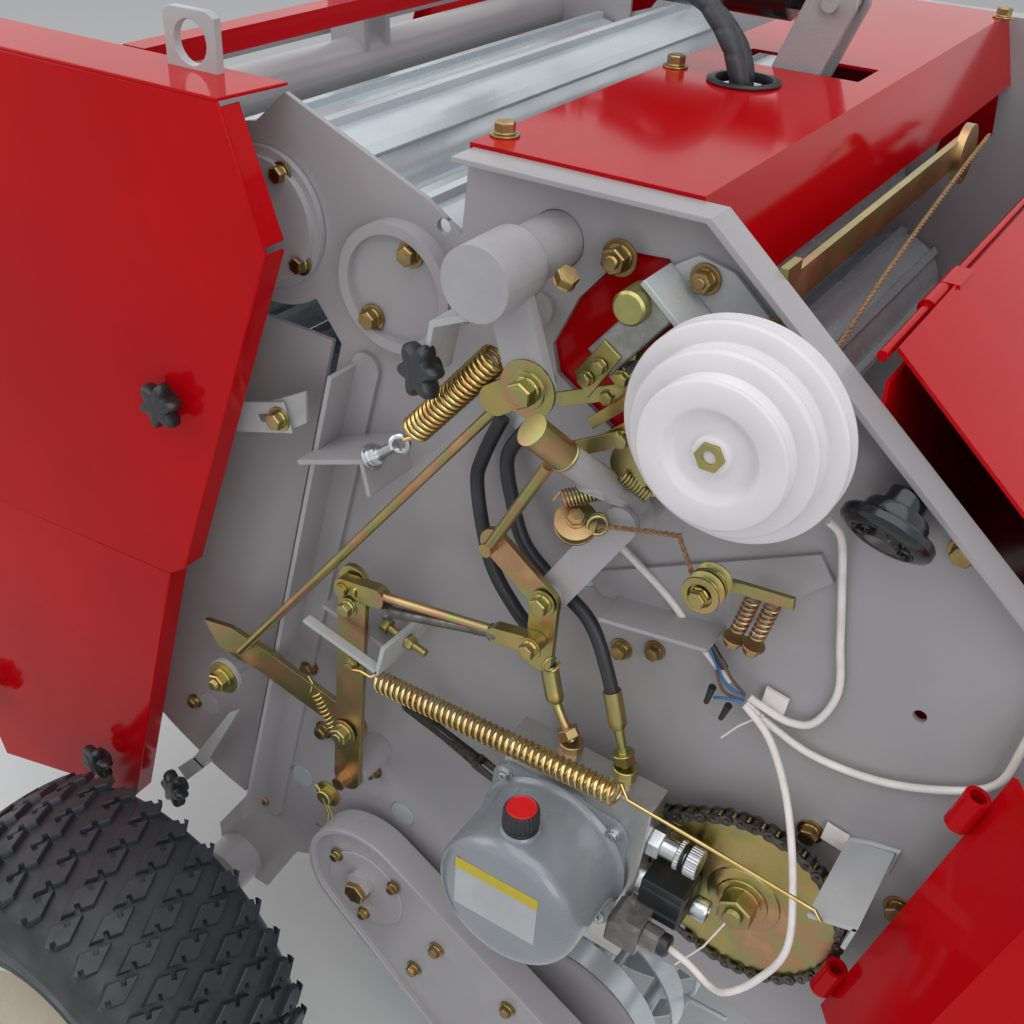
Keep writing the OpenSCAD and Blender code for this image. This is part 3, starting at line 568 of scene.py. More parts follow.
class BALER_OT_bolts(BalerOperator, bpy.types.Operator):
    """Adds the bolts and nuts that show on the plates and covers"""

    bl_idname = "baler.bolts"
    bl_label = "Bolts and nuts"

    def execute(self, context):
        turns = random.Random(7)
        heads = Shape()
        for x, z, out, across, stub in PLATE_BOLTS:
            place = at(x, z, out)
            heads.bolt(place, OUTWARD, across, turns.uniform(0, 1), stub=stub)
            if 0 < x < 640 and out == FLANGE_OUT:
                heads.bolt(Vector((x, -place.y, z)), -OUTWARD, across, turns.uniform(0, 1), stub=stub)
        # Clamp bolts of the torque tube's bearing and the crank's clevis
        heads.head(332, 1148, 10, 18, 0.4, stub=5)
        heads.nut(at(318, 1144, 66), (0.55, -0.2, 0.8), 15, 0.3)
        for x, y in COVER_TOP_BOLTS:
            heads.bolt(Vector((x, y, COVER_TOP)), UP, 15, turns.uniform(0, 1))
        heads.make("plate_bolts", "bronze_zinc")
        return {"FINISHED"}


# A hand knob's star, and its rings of scale and height
KNOB_POINTS = 6
KNOB_R, KNOB_SWELL = 19, 4.5
KNOB_LEVELS = ((0.55, 6), (0.9, 7.5), (1.0, 10), (1.02, 16), (0.97, 20), (0.86, 22.5), (0.5, 23.2))


def star_knob(shape, place, direction, spin):
    """A hand knob on its stud."""
    stand = facing(place, direction, spin)
    outline = []
    for k in range(KNOB_POINTS * 10):
        a = FULL_TURN * k / (KNOB_POINTS * 10)
        outline.append(polar(KNOB_R + KNOB_SWELL * math.cos(KNOB_POINTS * a), a))
    shape.lathe(stand, [(9, 0), (9, 7), (8, 8)], 20)
    shape.levels(stand, outline, KNOB_LEVELS)


class BALER_OT_knobs(BalerOperator, bpy.types.Operator):
    """Adds the black star knobs on the gate covers and brackets"""

    bl_idname = "baler.knobs"
    bl_label = "Star knobs"

    def execute(self, context):
        gate = Shape()
        for x, z in ((-75, 932), (-265, 384), (-420, 932), (-482, 384)):
            for side in (1, -1):
                place = at(x, z, COVER_OUT)
                place.y *= side
                star_knob(gate, place, (0, -side, 0), 0.3)
        star_knob(gate, at(-190, 338, 26), (-0.25, -1, 0.1), 0.1)
        gate.make("gate_knobs", "black_plastic", "gate", 40)
        bracket = Shape()
        star_knob(bracket, at(217, 1052, 74), (-0.3, -0.95, 0.05), 0.25)
        bracket.make("bracket_knob", "black_plastic", smooth=40)
        return {"FINISHED"}


# Outlines of the gate's side cover, above and below its crease, and the edges that are bent
# inward, notched at the corners: x and z
COVER_UPPER = [(12, 1214), (51, 1102), (-86, 737), (-109, 722), (-536, 705), (-536, 1010), (-470, 1214)]
COVER_LOWER = [(-109, 722), (-235, 325), (-497, 250), (-536, 420), (-536, 705)]
COVER_EDGES = [
    ((12, 1210), (50, 1106)), ((50, 1098), (-86, 738)), ((-109, 720), (-234, 327)),
    ((-235, 325.5), (-497, 250.5)), ((-497, 250.5), (-536, 420)), ((-536, 420), (-536, 1010)),
    ((-536, 1010), (-471, 1212)),
]
COVER_OUT = 76
COVER_THICK = 3
COVER_FOLD = 25
COVER_CREASE = 720
COVER_LEAN = 0.025


class BALER_OT_gate_covers(BalerOperator, bpy.types.Operator):
    """Folds the gate's side covers: a creased face and edges bent inward, notched at the corners"""

    bl_idname = "baler.gate_covers"
    bl_label = "Gate covers"

    def execute(self, context):
        cover = Shape()
        for outline in (COVER_UPPER, COVER_LOWER):
            cover.rings([self.face(outline, depth) for depth in (0, COVER_THICK)])
        for a, b in COVER_EDGES:
            a, b = Vector(a), Vector(b)
            way = (b - a).normalized()
            inside = Vector((way.y, -way.x)) * COVER_THICK
            cover.rings([self.face((a, b, b + inside, a + inside), depth) for depth in (0.4, COVER_FOLD)])
        face, edge = -SKIN_Y - COVER_OUT, -SKIN_Y - 3
        cover.rings([[Vector((x, y, z)) for x, y in ((12, face), (20, edge), (-470, edge), (-470, face))]
                     for z in (1214, 1217)])
        cover.make("gate_cover_right_folded", "red_enamel", "gate", 30, 1.0, ["gate_cover_right"])
        cover.mirrored().make("gate_cover_left_folded", "red_enamel", "gate", 30, 1.0, ["gate_cover_left"])
        strap = Shape()
        self.slotted(strap, (-46, 906), (26, 928), 30, (-6, 918), (8, 922.5), 8, 33, 3)
        strap.plate(26, [(2, 935), (44, 958), (44, 926), (14, 906)], 4)
        strap.plate(18, [(-88, 508), (-104, 496), (-176, 384), (-160, 376)], 3)
        strap.plate(6, [(-157, 380), (-173, 388), (-206, 352), (-192, 338)], 15)
        strap.make("gate_straps", "bright_grey_enamel", "gate", 30, 0.5)
        fixing = Shape()
        fixing.head(18, 925, 36, 15, 0.3)
        fixing.make("gate_strap_bolt", "yellow_zinc", "gate", 30)
        return {"FINISHED"}

    @staticmethod
    def face(outline, depth):
        """Places at a depth behind the cover's face, which leans inward below its crease."""
        return [at(x, z, COVER_OUT - max(0, COVER_CREASE - z) * COVER_LEAN - depth) for x, z in outline]

    @staticmethod
    def slotted(shape, a, b, width, slot_a, slot_b, slot_width, out, thick):
        """A flat strap with one slot along it."""
        a, b, c, d = (Vector(v) for v in (a, b, slot_a, slot_b))
        way = (b - a).normalized()
        side = Vector((-way.y, way.x))
        hole = []
        for centre, start in ((d, -90), (c, 90)):
            for k in range(9):
                turn = math.radians(start + k * 22.5)
                hole.append(centre + (math.cos(turn) * way + math.sin(turn) * side) * slot_width / 2)
        outer = []
        for p in hole:
            edge = a if (p - c).dot(way) < 0 else (b if (p - d).dot(way) > 0 else p)
            half = width / 2 if (p - c).dot(side) > 0 else -width / 2
            outer.append(a + way * (edge - a).dot(way) + side * half)
        place = side_on(out)
        shape.rings([[place @ Vector((p.x, p.y, h)) for p in ring]
                     for ring, h in ((outer, 0), (outer, thick), (hole, thick), (hole, 0))], closed=True)


def belt_outline(a, ra, b, rb):
    """The outline round two circles."""
    a, b = Vector(a), Vector(b)
    way = b - a
    start = math.atan2(way.y, way.x)
    lean = math.acos((ra - rb) / way.length)
    points = []
    for centre, radius, first, last in ((b, rb, start - lean, start + lean),
                                        (a, ra, start + lean, start + FULL_TURN - lean)):
        points += arc(centre, radius, math.degrees(first), math.degrees(last), 20)
    return points


# The pickup's case: its two ends and their radii, and its rim as inset and out
CASE_TOP, CASE_TOP_R = (104, 372), 74
CASE_FOOT, CASE_FOOT_R = (322, 216), 96
CASE_RIM = ((0, 14), (0, 47), (1.5, 50), (6.5, 50), (7.5, 49), (7.5, 45))
CASE_BOLTS = ((72, 398, 48, 10), (150, 396, 48, 10), (108, 326, 48, 10), (176, 276, 45.5, 12),
              (206, 330, 45.5, 12), (300, 300, 45.5, 12))


class BALER_OT_pickup_case(BalerOperator, bpy.types.Operator):
    """Shapes the pickup's drive case: a wide cover with a raised rim and a bolted disc"""

    bl_idname = "baler.pickup_case"
    bl_label = "Pickup drive case"

    def execute(self, context):
        case = Shape()
        case.rings([[at(x, z, out) for x, z in belt_outline(CASE_TOP, CASE_TOP_R - inset,
                                                            CASE_FOOT, CASE_FOOT_R - inset)]
                    for inset, out in CASE_RIM])
        case.lathe(outward(110, 366, 45), [(50, 0), (50, 2.4), (49, 3), (20, 3)], 56)
        case.make("pickup_case_rimmed", "grey_enamel", "pickup", 30, 0.4, ["pickup_case"])
        heads = Shape()
        for x, z, out, across in CASE_BOLTS:
            heads.head(x, z, out, across, x * 0.1)
        heads.head(104, 366, 48, 24, 0.3, washer=False)
        heads.make("pickup_case_bolts", "bronze_zinc", "pickup", 30)
        return {"FINISHED"}


def cut_copy(node, name, cutter, material):
    """A copy of a construction node with a shape cut out of it; the copy stands for the node."""
    cutter_mesh = cutter.mesh("cutter")
    tool = bpy.data.objects.new("cutter", cutter_mesh)
    piece = bpy.data.objects.new(name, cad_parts[node].data.copy())
    for thing in (tool, piece):
        bpy.context.scene.collection.objects.link(thing)
    cut = piece.modifiers.new("cut", "BOOLEAN")
    cut.operation = "DIFFERENCE"
    cut.solver = "EXACT"
    cut.object = tool
    bpy.context.view_layer.update()
    shaped = bpy.data.meshes.new_from_object(piece.evaluated_get(bpy.context.evaluated_depsgraph_get()))
    piece.modifiers.clear()
    piece.data = shaped
    shaped.materials.clear()
    shaped.materials.append(MATERIALS[material])
    bpy.data.objects.remove(tool)
    bpy.data.meshes.remove(cutter_mesh)
    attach(piece, "root")
    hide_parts(node)


# The window in the right side plate, and its spare holes: x, z and width
WINDOW = [(282, 1036), (276, 1060), (296, 1104), (334, 1150), (366, 1152), (380, 1138), (392, 1100),
          (340, 1000)]
SPARE_HOLES = ((171, 1131, 13), (614, 849, 11), (-33, 432, 9), (2, 357, 9), (-232, 408, 9), (84, 962, 9))
CUT_DEPTH = 24
WELD = 0.2  # a bracket's foot stands this far off the plate's face, in its weld
# The red strip across the gate's top: half its length, its top, its two edges and its thickness
STRIP_Y, STRIP_TOP, STRIP_BACK, STRIP_FRONT, STRIP_THICK = 419.8, 1215, -176, -150, 3


class BALER_OT_side_plate(BalerOperator, bpy.types.Operator):
    """Cuts the wide window and the spare holes of the right side, and bends its small brackets"""

    bl_idname = "baler.side_plate"
    bl_label = "Side plate's window and brackets"

    def execute(self, context):
        window = Shape()
        window.plate(-CUT_DEPTH / 2, WINDOW, CUT_DEPTH)
        for x, z, across in SPARE_HOLES:
            window.plate(-CUT_DEPTH / 2, arc((x, z), across / 2, 0, 342, 19), CUT_DEPTH)
        cut_copy("side_plate_right", "side_plate_windowed", window, "grey_enamel")
        channel = Shape()
        channel.plate(0.02, box_outline(570, 590, 700, 785), 104)
        cut_copy("right_brackets", "right_brackets_trimmed", channel, "grey_enamel")
        block = Shape()
        for low, high in ((424, 445.95), (452.05, 480)):
            block.plate(-40, box_outline(low, 1110, high, 1170), 42)
        cut_copy("twine_bar", "twine_bar_trimmed", block, "yellow_zinc")
        bracket = Shape()
        bracket.plate(50, [(272, 1117), (220, 1095), (211, 1044), (215, 1044), (224, 1091), (272, 1112)], 38)
        bracket.plate(WELD, [(587, 701), (626, 710), (625, 706), (588, 697)], 94)
        bracket.plate(WELD, [(626, 710), (622, 709), (617, 683), (621, 682)], 94)
        bracket.wire([(584, 700, 2), (606, 707, 1), (628, 712, 2), (624, 684, 1)], 2.6, 8)
        # Stop bracket: the strip in front of the lever and the leaf that holds the adjusting screw
        bracket.plate(68.5, [(69, 741), (155, 718.5), (157, 722.5), (70, 745)], 9.5)
        bracket.plate(WELD, [(153, 718), (157.5, 718), (166, 753), (161.5, 754)], 77.8)
        bracket.make("small_brackets", "bright_grey_enamel", bevel=0.8)
        strip = Shape()
        under = STRIP_TOP - STRIP_THICK
        back, front, inner = STRIP_BACK, STRIP_FRONT, STRIP_FRONT - STRIP_THICK
        for outline in ([(back, under), (back, STRIP_TOP), (front, STRIP_TOP), (front, under)],
                        [(inner, 1194), (inner, under), (front, under), (front, 1194)]):
            strip.across(outline, -STRIP_Y, STRIP_Y)
        tab = box_outline(STRIP_BACK, 1150, STRIP_FRONT, 1213)
        for side in (1, -1):
            strip.across(tab, side * (STRIP_Y - STRIP_THICK), side * STRIP_Y)
        strip.make("gate_top_strip", "red_enamel", "gate", 35)
        return {"FINISHED"}


class BALER_OT_springs(BalerOperator, bpy.types.Operator):
    """Winds the density, crank and latch springs"""

    bl_idname = "baler.springs"
    bl_label = "Springs"

    def execute(self, context):
        spring("density_spring_coil", (150, 700, 66), (410, 712, 78), 11, 3.6, 40,
               [(114, 694, 62), (125, 697, 62), (140, 700, 66)],
               [(420, 712, 78), (500, 709, 84), (592, 706, 92), (600, 706, 100)], ["density_spring"])
        spring("crank_spring_coil", (187, 980, 60), (262, 1068, 60), 13, 4.0, 20,
               [(176, 967, 60), (180, 970, 60)], [(266, 1074, 60), (280, 1089, 66), (284, 1092, 74)],
               ["crank_spring"])
        eye = Shape()
        eye.wire([(134, 932, 57), (166, 958, 59)], 5, 12)
        eye.sweep(helix(at(170, 961, 57), at(172, 962, 62), 7, 1, 20), 2.6)
        eye.bolt(at(140, 937, 57), at(166, 958, 59) - at(134, 932, 57), 15)
        eye.make("crank_eye_bolt", "bright_zinc", smooth=40, slot="zinc_yellow")
        spring("latch_spring", (52, 626, 46), (82, 572, 46), 7, 1.8, 13,
               [(42, 640, 46), (48, 633, 46)], [(88, 562, 48), (96, 556, 52)])
        return {"FINISHED"}


# The pump chain: the sprocket's tooth as share of its pitch and height over the pitch circle,
# and the pinion under the tank, where the two strands go
TOOTH = ((0.0, -3.6), (0.22, -2.2), (0.42, 3.4), (0.58, 3.4), (0.78, -2.2))
PINION_AXIS, PINION_R = (372, 604), 26
STRAND_LINKS = 7
LINK_R, WAIST_R = 5.2, 3.4
INNER_PLATES, OUTER_PLATES = (23.2, 30.8), (21.6, 32.4)


class BALER_OT_chain(BalerOperator, bpy.types.Operator):
    """Lays the pump chain round its sprocket and cuts the sprocket's teeth"""

    bl_idname = "baler.pump_chain"
    bl_label = "Pump chain"

    def execute(self, context):
        radius = self.sizes.chain_pitch / 2 / math.sin(math.pi / self.sizes.chain_teeth)
        disc = Shape()
        outline = []
        for k in range(self.sizes.chain_teeth):
            for share, height in TOOTH:
                x, z = polar(radius + height, FULL_TURN * (k + share) / self.sizes.chain_teeth)
                outline.append((CROSS_AXIS[0] + x, CROSS_AXIS[1] + z))
        disc.plate(24, outline, 6.5)
        disc.lathe(outward(*CROSS_AXIS, 24), [(34, 6), (34, 8), (32, 9), (20, 9)], 40)
        disc.head(*CROSS_AXIS, 33, 30, 0.5, stub=6)
        disc.make("pump_sprocket_disc", "yellow_zinc", bevel=0.4, replaces=["pump_sprocket"])

        line = self.line(radius, self.sizes.chain_pitch)
        chain = Shape()
        for k in range(len(line) - 1):
            for out in (OUTER_PLATES if k % 2 else INNER_PLATES):
                chain.plate(out, self.link(line[k], line[k + 1]), 1.5)
        for p in line:
            chain.lathe(outward(p.x, p.y, 20.6), [(2.1, 0), (2.1, 14.4), (1.6, 14.8)], 10)
            chain.lathe(outward(p.x, p.y, 24.6), [(4.2, 0), (4.2, 6.2)], 12)
        chain.make("pump_chain_links", "oiled_chain")
        return {"FINISHED"}

    @staticmethod
    def line(radius, pitch):
        """The chain's pins: a straight strand, the arc round the sprocket and a strand back."""
        centre = Vector(CROSS_AXIS)
        away = Vector(PINION_AXIS) - centre
        lean = math.acos((radius - PINION_R) / away.length)
        back = math.atan2(away.y, away.x)
        top = back - lean
        arc_links = round(((-2 * lean) % FULL_TURN) * radius / pitch)
        start = centre + Vector(polar(radius, top))
        way = Vector((math.sin(top), -math.cos(top)))
        line = [start - way * pitch * k for k in range(STRAND_LINKS, 0, -1)]
        end = top - arc_links * pitch / radius
        for k in range(arc_links + 1):
            line.append(centre + Vector(polar(radius, top - (top - end) * k / arc_links)))
        # Behind the pump block and the tank the lower strand is drawn with ever longer links
        way = Vector((math.sin(end), -math.cos(end)))
        for k in range(1, STRAND_LINKS + 1):
            line.append(line[-1] + way * pitch * k)
        return line

    @staticmethod
    def link(a, b):
        """The outline of a link's plate between two pins: round ends and a waist."""
        along = (b - a).normalized()
        across = Vector((-along.y, along.x))
        middle = (a + b) / 2
        points = [middle - across * WAIST_R, middle + across * WAIST_R]
        for pin, sign in ((a, -1), (b, 1)):
            for j in range(7):
                angle = math.pi * (j / 6 - 0.5)
                points.append(pin + sign * (math.cos(angle) * along + math.sin(angle) * across) * LINK_R)
        points.sort(key=lambda p: math.atan2(p.y - middle.y, p.x - middle.x))
        return [tuple(p) for p in points]


# Profiles of radius and height: the twine pulley, and half a tyre's outside from the rim
PULLEY_PROFILE = [
    (20, 0), (78, 0), (80.5, 1), (82, 3), (82, 4), (71, 9), (70.5, 10), (81, 14), (82, 15.5), (81.5, 18),
    (80, 19.5), (68, 20), (67.5, 21), (67.5, 22), (60, 27), (68, 32), (68.5, 34), (67.8, 36.5), (66, 38),
    (54, 38.4), (53.5, 39.4), (48, 45), (54, 50), (54.6, 51.6), (54.3, 53), (52.5, 54), (36, 54), (33.5, 53),
    (31.5, 48), (28, 46), (16, 46), (14.5, 46.4), (14, 50), (12.5, 51.5), (4, 51.5),
]
TYRE_PROFILE = [
    (101.8, 84), (104, 93), (108, 97), (113, 98), (117, 96.5), (121, 98), (140, 103.5), (158, 106),
    (163, 107), (166, 106), (180, 105), (192, 101.5), (201, 97), (208, 91), (214, 80),
]


class BALER_OT_pulley(BalerOperator, bpy.types.Operator):
    """Turns the stepped twine pulley with its dished face and hexagon insert"""

    bl_idname = "baler.step_pulley"
    bl_label = "Twine pulley"

    def execute(self, context):
        stand = outward(*PULLEY_AXIS, 52)
        body = Shape()
        body.lathe(stand, PULLEY_PROFILE, 96)
        body.make("step_pulley_turned", "turned_polyethylene", smooth=50, replaces=["step_pulley"])
        insert = Shape()
        hole = arc((0, 0), 5.2, 0, 345, 23)
        outer = [self.on_hexagon(19, a) for a in range(0, 360, 15)]
        insert.rings([[stand @ Vector((x, y, h)) for x, y in ring]
                      for ring, h in ((outer, 49), (outer, 54.2), (hole, 54.2), (hole, 46))], capped=False)
        insert.make("pulley_insert", "yellow_zinc", smooth=25)
        return {"FINISHED"}

    @staticmethod
    def on_hexagon(across, degrees):
        """A point of a hexagon at an angle."""
        return polar(across / 2 / math.cos(math.radians((degrees % 60) - 30)), math.radians(degrees))


# The tread's middle radius, the fall of its crown and half its width; the blocks' step across
# the tread and each column's shift round it; a block's rhombus and its notch
TREAD_R, TREAD_FALL, TREAD_HALF = 227.2, 9.5, 95
TREAD_PITCH_R = 227
COLUMN_STEP, COLUMN_SHIFT = 41, 12
BLOCK_CORNERS = [Vector(p) for p in ((-27, -1), (-1, -12.5), (27, 1), (1, 12.5))]
NOTCH = ((-3.4, 0), (-2.8, 6.5), (2.8, 6.5), (3.4, 0))


class BALER_OT_tyres(BalerOperator, bpy.types.Operator):
    """Moulds the tyres: a carcass with rims and ribs, and staggered turf blocks"""

    bl_idname = "baler.tyres"
    bl_label = "Tyres"

    def execute(self, context):
        depth = self.sizes.tread_depth
        crown = [(self.crown(u) - depth, u) for u in (70, 50, 25, 0, -25, -50, -70)]
        profile = TYRE_PROFILE + crown + [(r, -w) for r, w in reversed(TYRE_PROFILE)]
        for side, name in ((1, "left"), (-1, "right")):
            tyre = Shape()
            stand = facing(Vector((AXLE[0], side * TRACK / 2, AXLE[1])), (0, side, 0))
            tyre.lathe(stand, profile, 96, capped=False)
            for row in range(self.sizes.tread_rows):
                for column in range(self.sizes.tread_columns):
                    self.block(tyre, stand, row, column, depth)
            tyre.make(f"tyre_{name}_moulded", "tyre_rubber", f"{name}_wheel", 35, replaces=[f"tyre_{name}"])
        return {"FINISHED"}

    @staticmethod
    def crown(u):
        """The tread surface's radius at a distance from the tyre's middle."""
        return TREAD_R - TREAD_FALL * (abs(u) / TREAD_HALF) ** 2.6

    def block(self, tyre, stand, row, column, depth):
        """One turf block: a rhombus lying across the tread, notched in two opposite edges."""
        step = FULL_TURN * TREAD_PITCH_R / self.sizes.tread_rows
        middle = (column - (self.sizes.tread_columns - 1) / 2) * COLUMN_STEP
        around = row * step - column * COLUMN_SHIFT
        outline = []
        for k, a in enumerate(BLOCK_CORNERS):
            b = BLOCK_CORNERS[(k + 1) % 4]
            outline.append(a)
            if k in (1, 3):
                way = (b - a).normalized()
                inward = Vector((-way.y, way.x))
                outline += [(a + b) / 2 + way * along + inward * into for along, into in NOTCH]
        rings = []
        for grow, lift in ((1.1, -depth - 1.5), (1.03, -0.9), (0.96, 0.0)):
            ring = []
            for p in outline:
                u = max(-100.0, min(100.0, middle + p.x * grow))
                around_by = (around + p.y * grow) / TREAD_PITCH_R
                ring.append(stand @ Vector((*polar(self.crown(u) + lift, around_by), u)))
            rings.append(ring)
        tyre.rings(rings)


# Routes of the hoses, as in the construction: x, z and out on the side plate
PLATE_HOSES = [
    [(238, 986, 8), (226, 950, 16), (223, 920, 20), (244, 857, 28), (273, 818, 30), (305, 790, 32),
     (324, 744, 38), (346, 713, 44)],
    [(262, 984, 8), (248, 955, 14), (257, 918, 18), (275, 884, 24), (309, 860, 28), (347, 838, 32),
     (372, 795, 38), (388, 750, 42), (400, 713, 44)],
]
# Routes of the lift cylinder's hoses: x, y, z
LIFT_HOSES = [
    [(276, -93, 1170), (262, -90, 1225), (200, -70, 1262), (120, -44, 1254), (64, -38, 1252)],
    [(284, -116, 1170), (262, -112, 1232), (196, -84, 1276), (120, -50, 1276), (64, -38, 1272)],
]
HOSE_R = 6.25
GUARD_R = 9.2
GUARD_GAP = 2.2
GUARD_PITCH = 24


class BALER_OT_hoses(BalerOperator, bpy.types.Operator):
    """Makes the hydraulic hoses, their spiral guards, ferrules and unions"""

    bl_idname = "baler.hoses"
    bl_label = "Hoses"

    def execute(self, context):
        rubber = Shape()
        metal = Shape()
        for places in PLATE_HOSES:
            line = route(places, 4)
            end = len(line) - 18
            rubber.sweep(line[:end], HOSE_R, 16)
            metal.sweep(line[end - 2:end + 8], [8.2] * 9 + [6.0], 18)
            metal.sweep(line[end + 7:], 4.4, 12)
            metal.nut(line[-5], line[-1] - line[-4], 17, 0.3)
            metal.nut(line[-1], (0, 0, -1), 19, 0.6)
            metal.lathe(facing(line[-1] + Vector((2, 0, -6)), (0.1, 0, -1)),
                        [(8, 0), (8, 18), (10, 20), (10, 27)], 16)
        rubber.make("plate_hoses_rubber", "hose_rubber", smooth=60, replaces=["hoses"])
        metal.make("plate_hose_unions", "yellow_zinc")

        guard = Shape()
        ends = Shape()
        for places in LIFT_HOSES:
            line = evenly(smooth_line([Vector(p) for p in places], 10), GUARD_GAP)
            cut = len(line) - 20
            guard.sweep(line[:cut], GUARD_R, 20, twist=self.spiral)
            ends.sweep(line[cut - 2:cut + 11], [8.6] * 12 + [7], 18)
            ends.sweep(line[cut + 10:], 5, 12)
            ends.nut(line[-9], line[-1] - line[-9], 19, 0.2)
            ends.nut(line[-4], line[-1] - line[-4], 17, 0.5)
        guard.make("lift_hose_guards", "hose_rubber", smooth=50, replaces=["lift_hoses"])
        ends.make("lift_hose_unions", "bright_zinc", "lift_barrel")
        collar = Shape()
        collar.lathe(facing(Vector((276, -104, 1199)), UP), [
            (30, 0), (30, 2), (34, 2), (34, 3.5), (32, 4.5), (27, 4.5), (25, 1), (25, -4)], 40, capped=False)
        collar.make("cover_grommet", "black_plastic", smooth=40)
        return {"FINISHED"}

    @staticmethod
    def spiral(k, angle):
        """A wound strip: full radius on the strip, and a groove where its turns meet."""
        turn = (k * GUARD_GAP / GUARD_PITCH + angle / FULL_TURN) % 1
        groove = min(turn, 1 - turn)
        return 0.86 if groove < 0.05 else 0.93 + 0.07 * math.sin(math.pi * turn) ** 0.5


def on_block(x, out, z):
    """A matrix on the tilted pump block whose z axis runs forward."""
    return (Matrix.Translation(at(*TANK_AXIS, 0)) @ Matrix.Rotation(BLOCK_TILT, 4, "Y")
            @ Matrix.Translation((x, -out, z)) @ Matrix.Rotation(math.pi / 2, 4, "Y"))


def tilted(outline, angle=-BLOCK_TILT):
    """An outline turned round the tank's axis, from points about that axis."""
    return [(TANK_AXIS[0] + x * math.cos(angle) - z * math.sin(angle),
             TANK_AXIS[1] + x * math.sin(angle) + z * math.cos(angle)) for x, z in outline]


def ridged(place, levels, ridges, depth):
    """Rings of a ridged knob, from a table of height and radius."""
    turns = [(FULL_TURN * k / (ridges * 4), 0 if k % 4 else depth) for k in range(ridges * 4)]
    return [[place @ Vector((*polar(radius - cut, a), height)) for a, cut in turns]
            for height, radius in levels]


# The tank's ear round each screw: angle from the screw and distance outside the shell
TANK_EAR = ((-0.62, 3.5), (-0.3, 8), (-0.13, 17), (-0.05, 19.5), (0.05, 19.5), (0.13, 17), (0.3, 8),
            (0.62, 3.5))
TANK_PROFILE = [
    (40, 3), (75, 3), (75.5, 5), (72, 8), (70.4, 14), (70, 24), (70, 74), (69.4, 79), (67.6, 83.5),
    (64.6, 87), (60.5, 89.6), (55, 90.8), (48, 91), (20, 91), (1, 91),
]
TANK_NECK = (346, 675, 126)
TANK_SCREW = [(8, 0), (8, 1), (5.4, 1.2), (5.4, 2), (4.6, 2.2), (4.4, 5.6), (3.8, 6.2), (2, 6.2), (2, 3.6)]
LABEL_TURN = -0.022
QUARTERS = [math.pi / 4 + k * math.pi / 2 for k in range(4)]


class BALER_OT_oil_tank(BalerOperator, bpy.types.Operator):
    """Spins the oil tank with its flange, filler cap and blank label"""

    bl_idname = "baler.oil_tank"
    bl_label = "Oil tank"

    def execute(self, context):
        tank = Shape()
        tank.lathe(outward(*TANK_AXIS, TANK_OUT), TANK_PROFILE, 96)
        flange = [polar(TANK_R + far, turn + a) for turn in QUARTERS for a, far in TANK_EAR]
        tank.prism(side_on(TANK_OUT), tilted(flange), 0.2, 4)
        neck = at(*TANK_NECK)
        tank.lathe(facing(neck, UP), [(18, -8), (18.5, 0), (17, 3), (16, 4)], 32)
        tank.make("oil_tank_spun", "tank_enamel", smooth=40, replaces=["oil_tank"])
        cap = Shape()
        cap_stand = facing(neck + 4 * UP, UP)
        cap.lathe(cap_stand, [(14, 0), (16, 0), (16, 3), (14.5, 3.6), (14.5, 5)], 32)
        cap.rings(ridged(cap_stand, ((5, 15.4), (6, 16.4), (19, 15.8), (21.5, 14.4)), 24, 0.8))
        cap.make("tank_cap", "black_plastic", smooth=40)
        disc = Shape()
        disc.lathe(cap_stand, [(12, 20), (13.4, 21.6), (13, 22.6), (12.2, 22.8), (11.8, 22.2), (1, 22.2)], 40)
        disc.make("tank_cap_disc", "red_plastic", smooth=40)
        for name, material, low, high in (("tank_label", "blank_label", -22, 22.9),
                                          ("tank_label_band", "yellow_label", 23, 35)):
            sticker = Shape()
            sticker.plate(TANK_OUT + 91.1, tilted(box_outline(-47, low, 36, high), LABEL_TURN), 0.35)
            sticker.make(name, material)
        screws = Shape()
        for x, z in tilted([polar(TANK_R + 10, a) for a in QUARTERS]):
            screws.lathe(outward(x, z, TANK_OUT + 4), TANK_SCREW, 20)
        screws.make("tank_screws", "bright_zinc", smooth=40)
        return {"FINISHED"}


BLOCK_FRONT = 84  # the pump block's front face, forward of the tank's axis


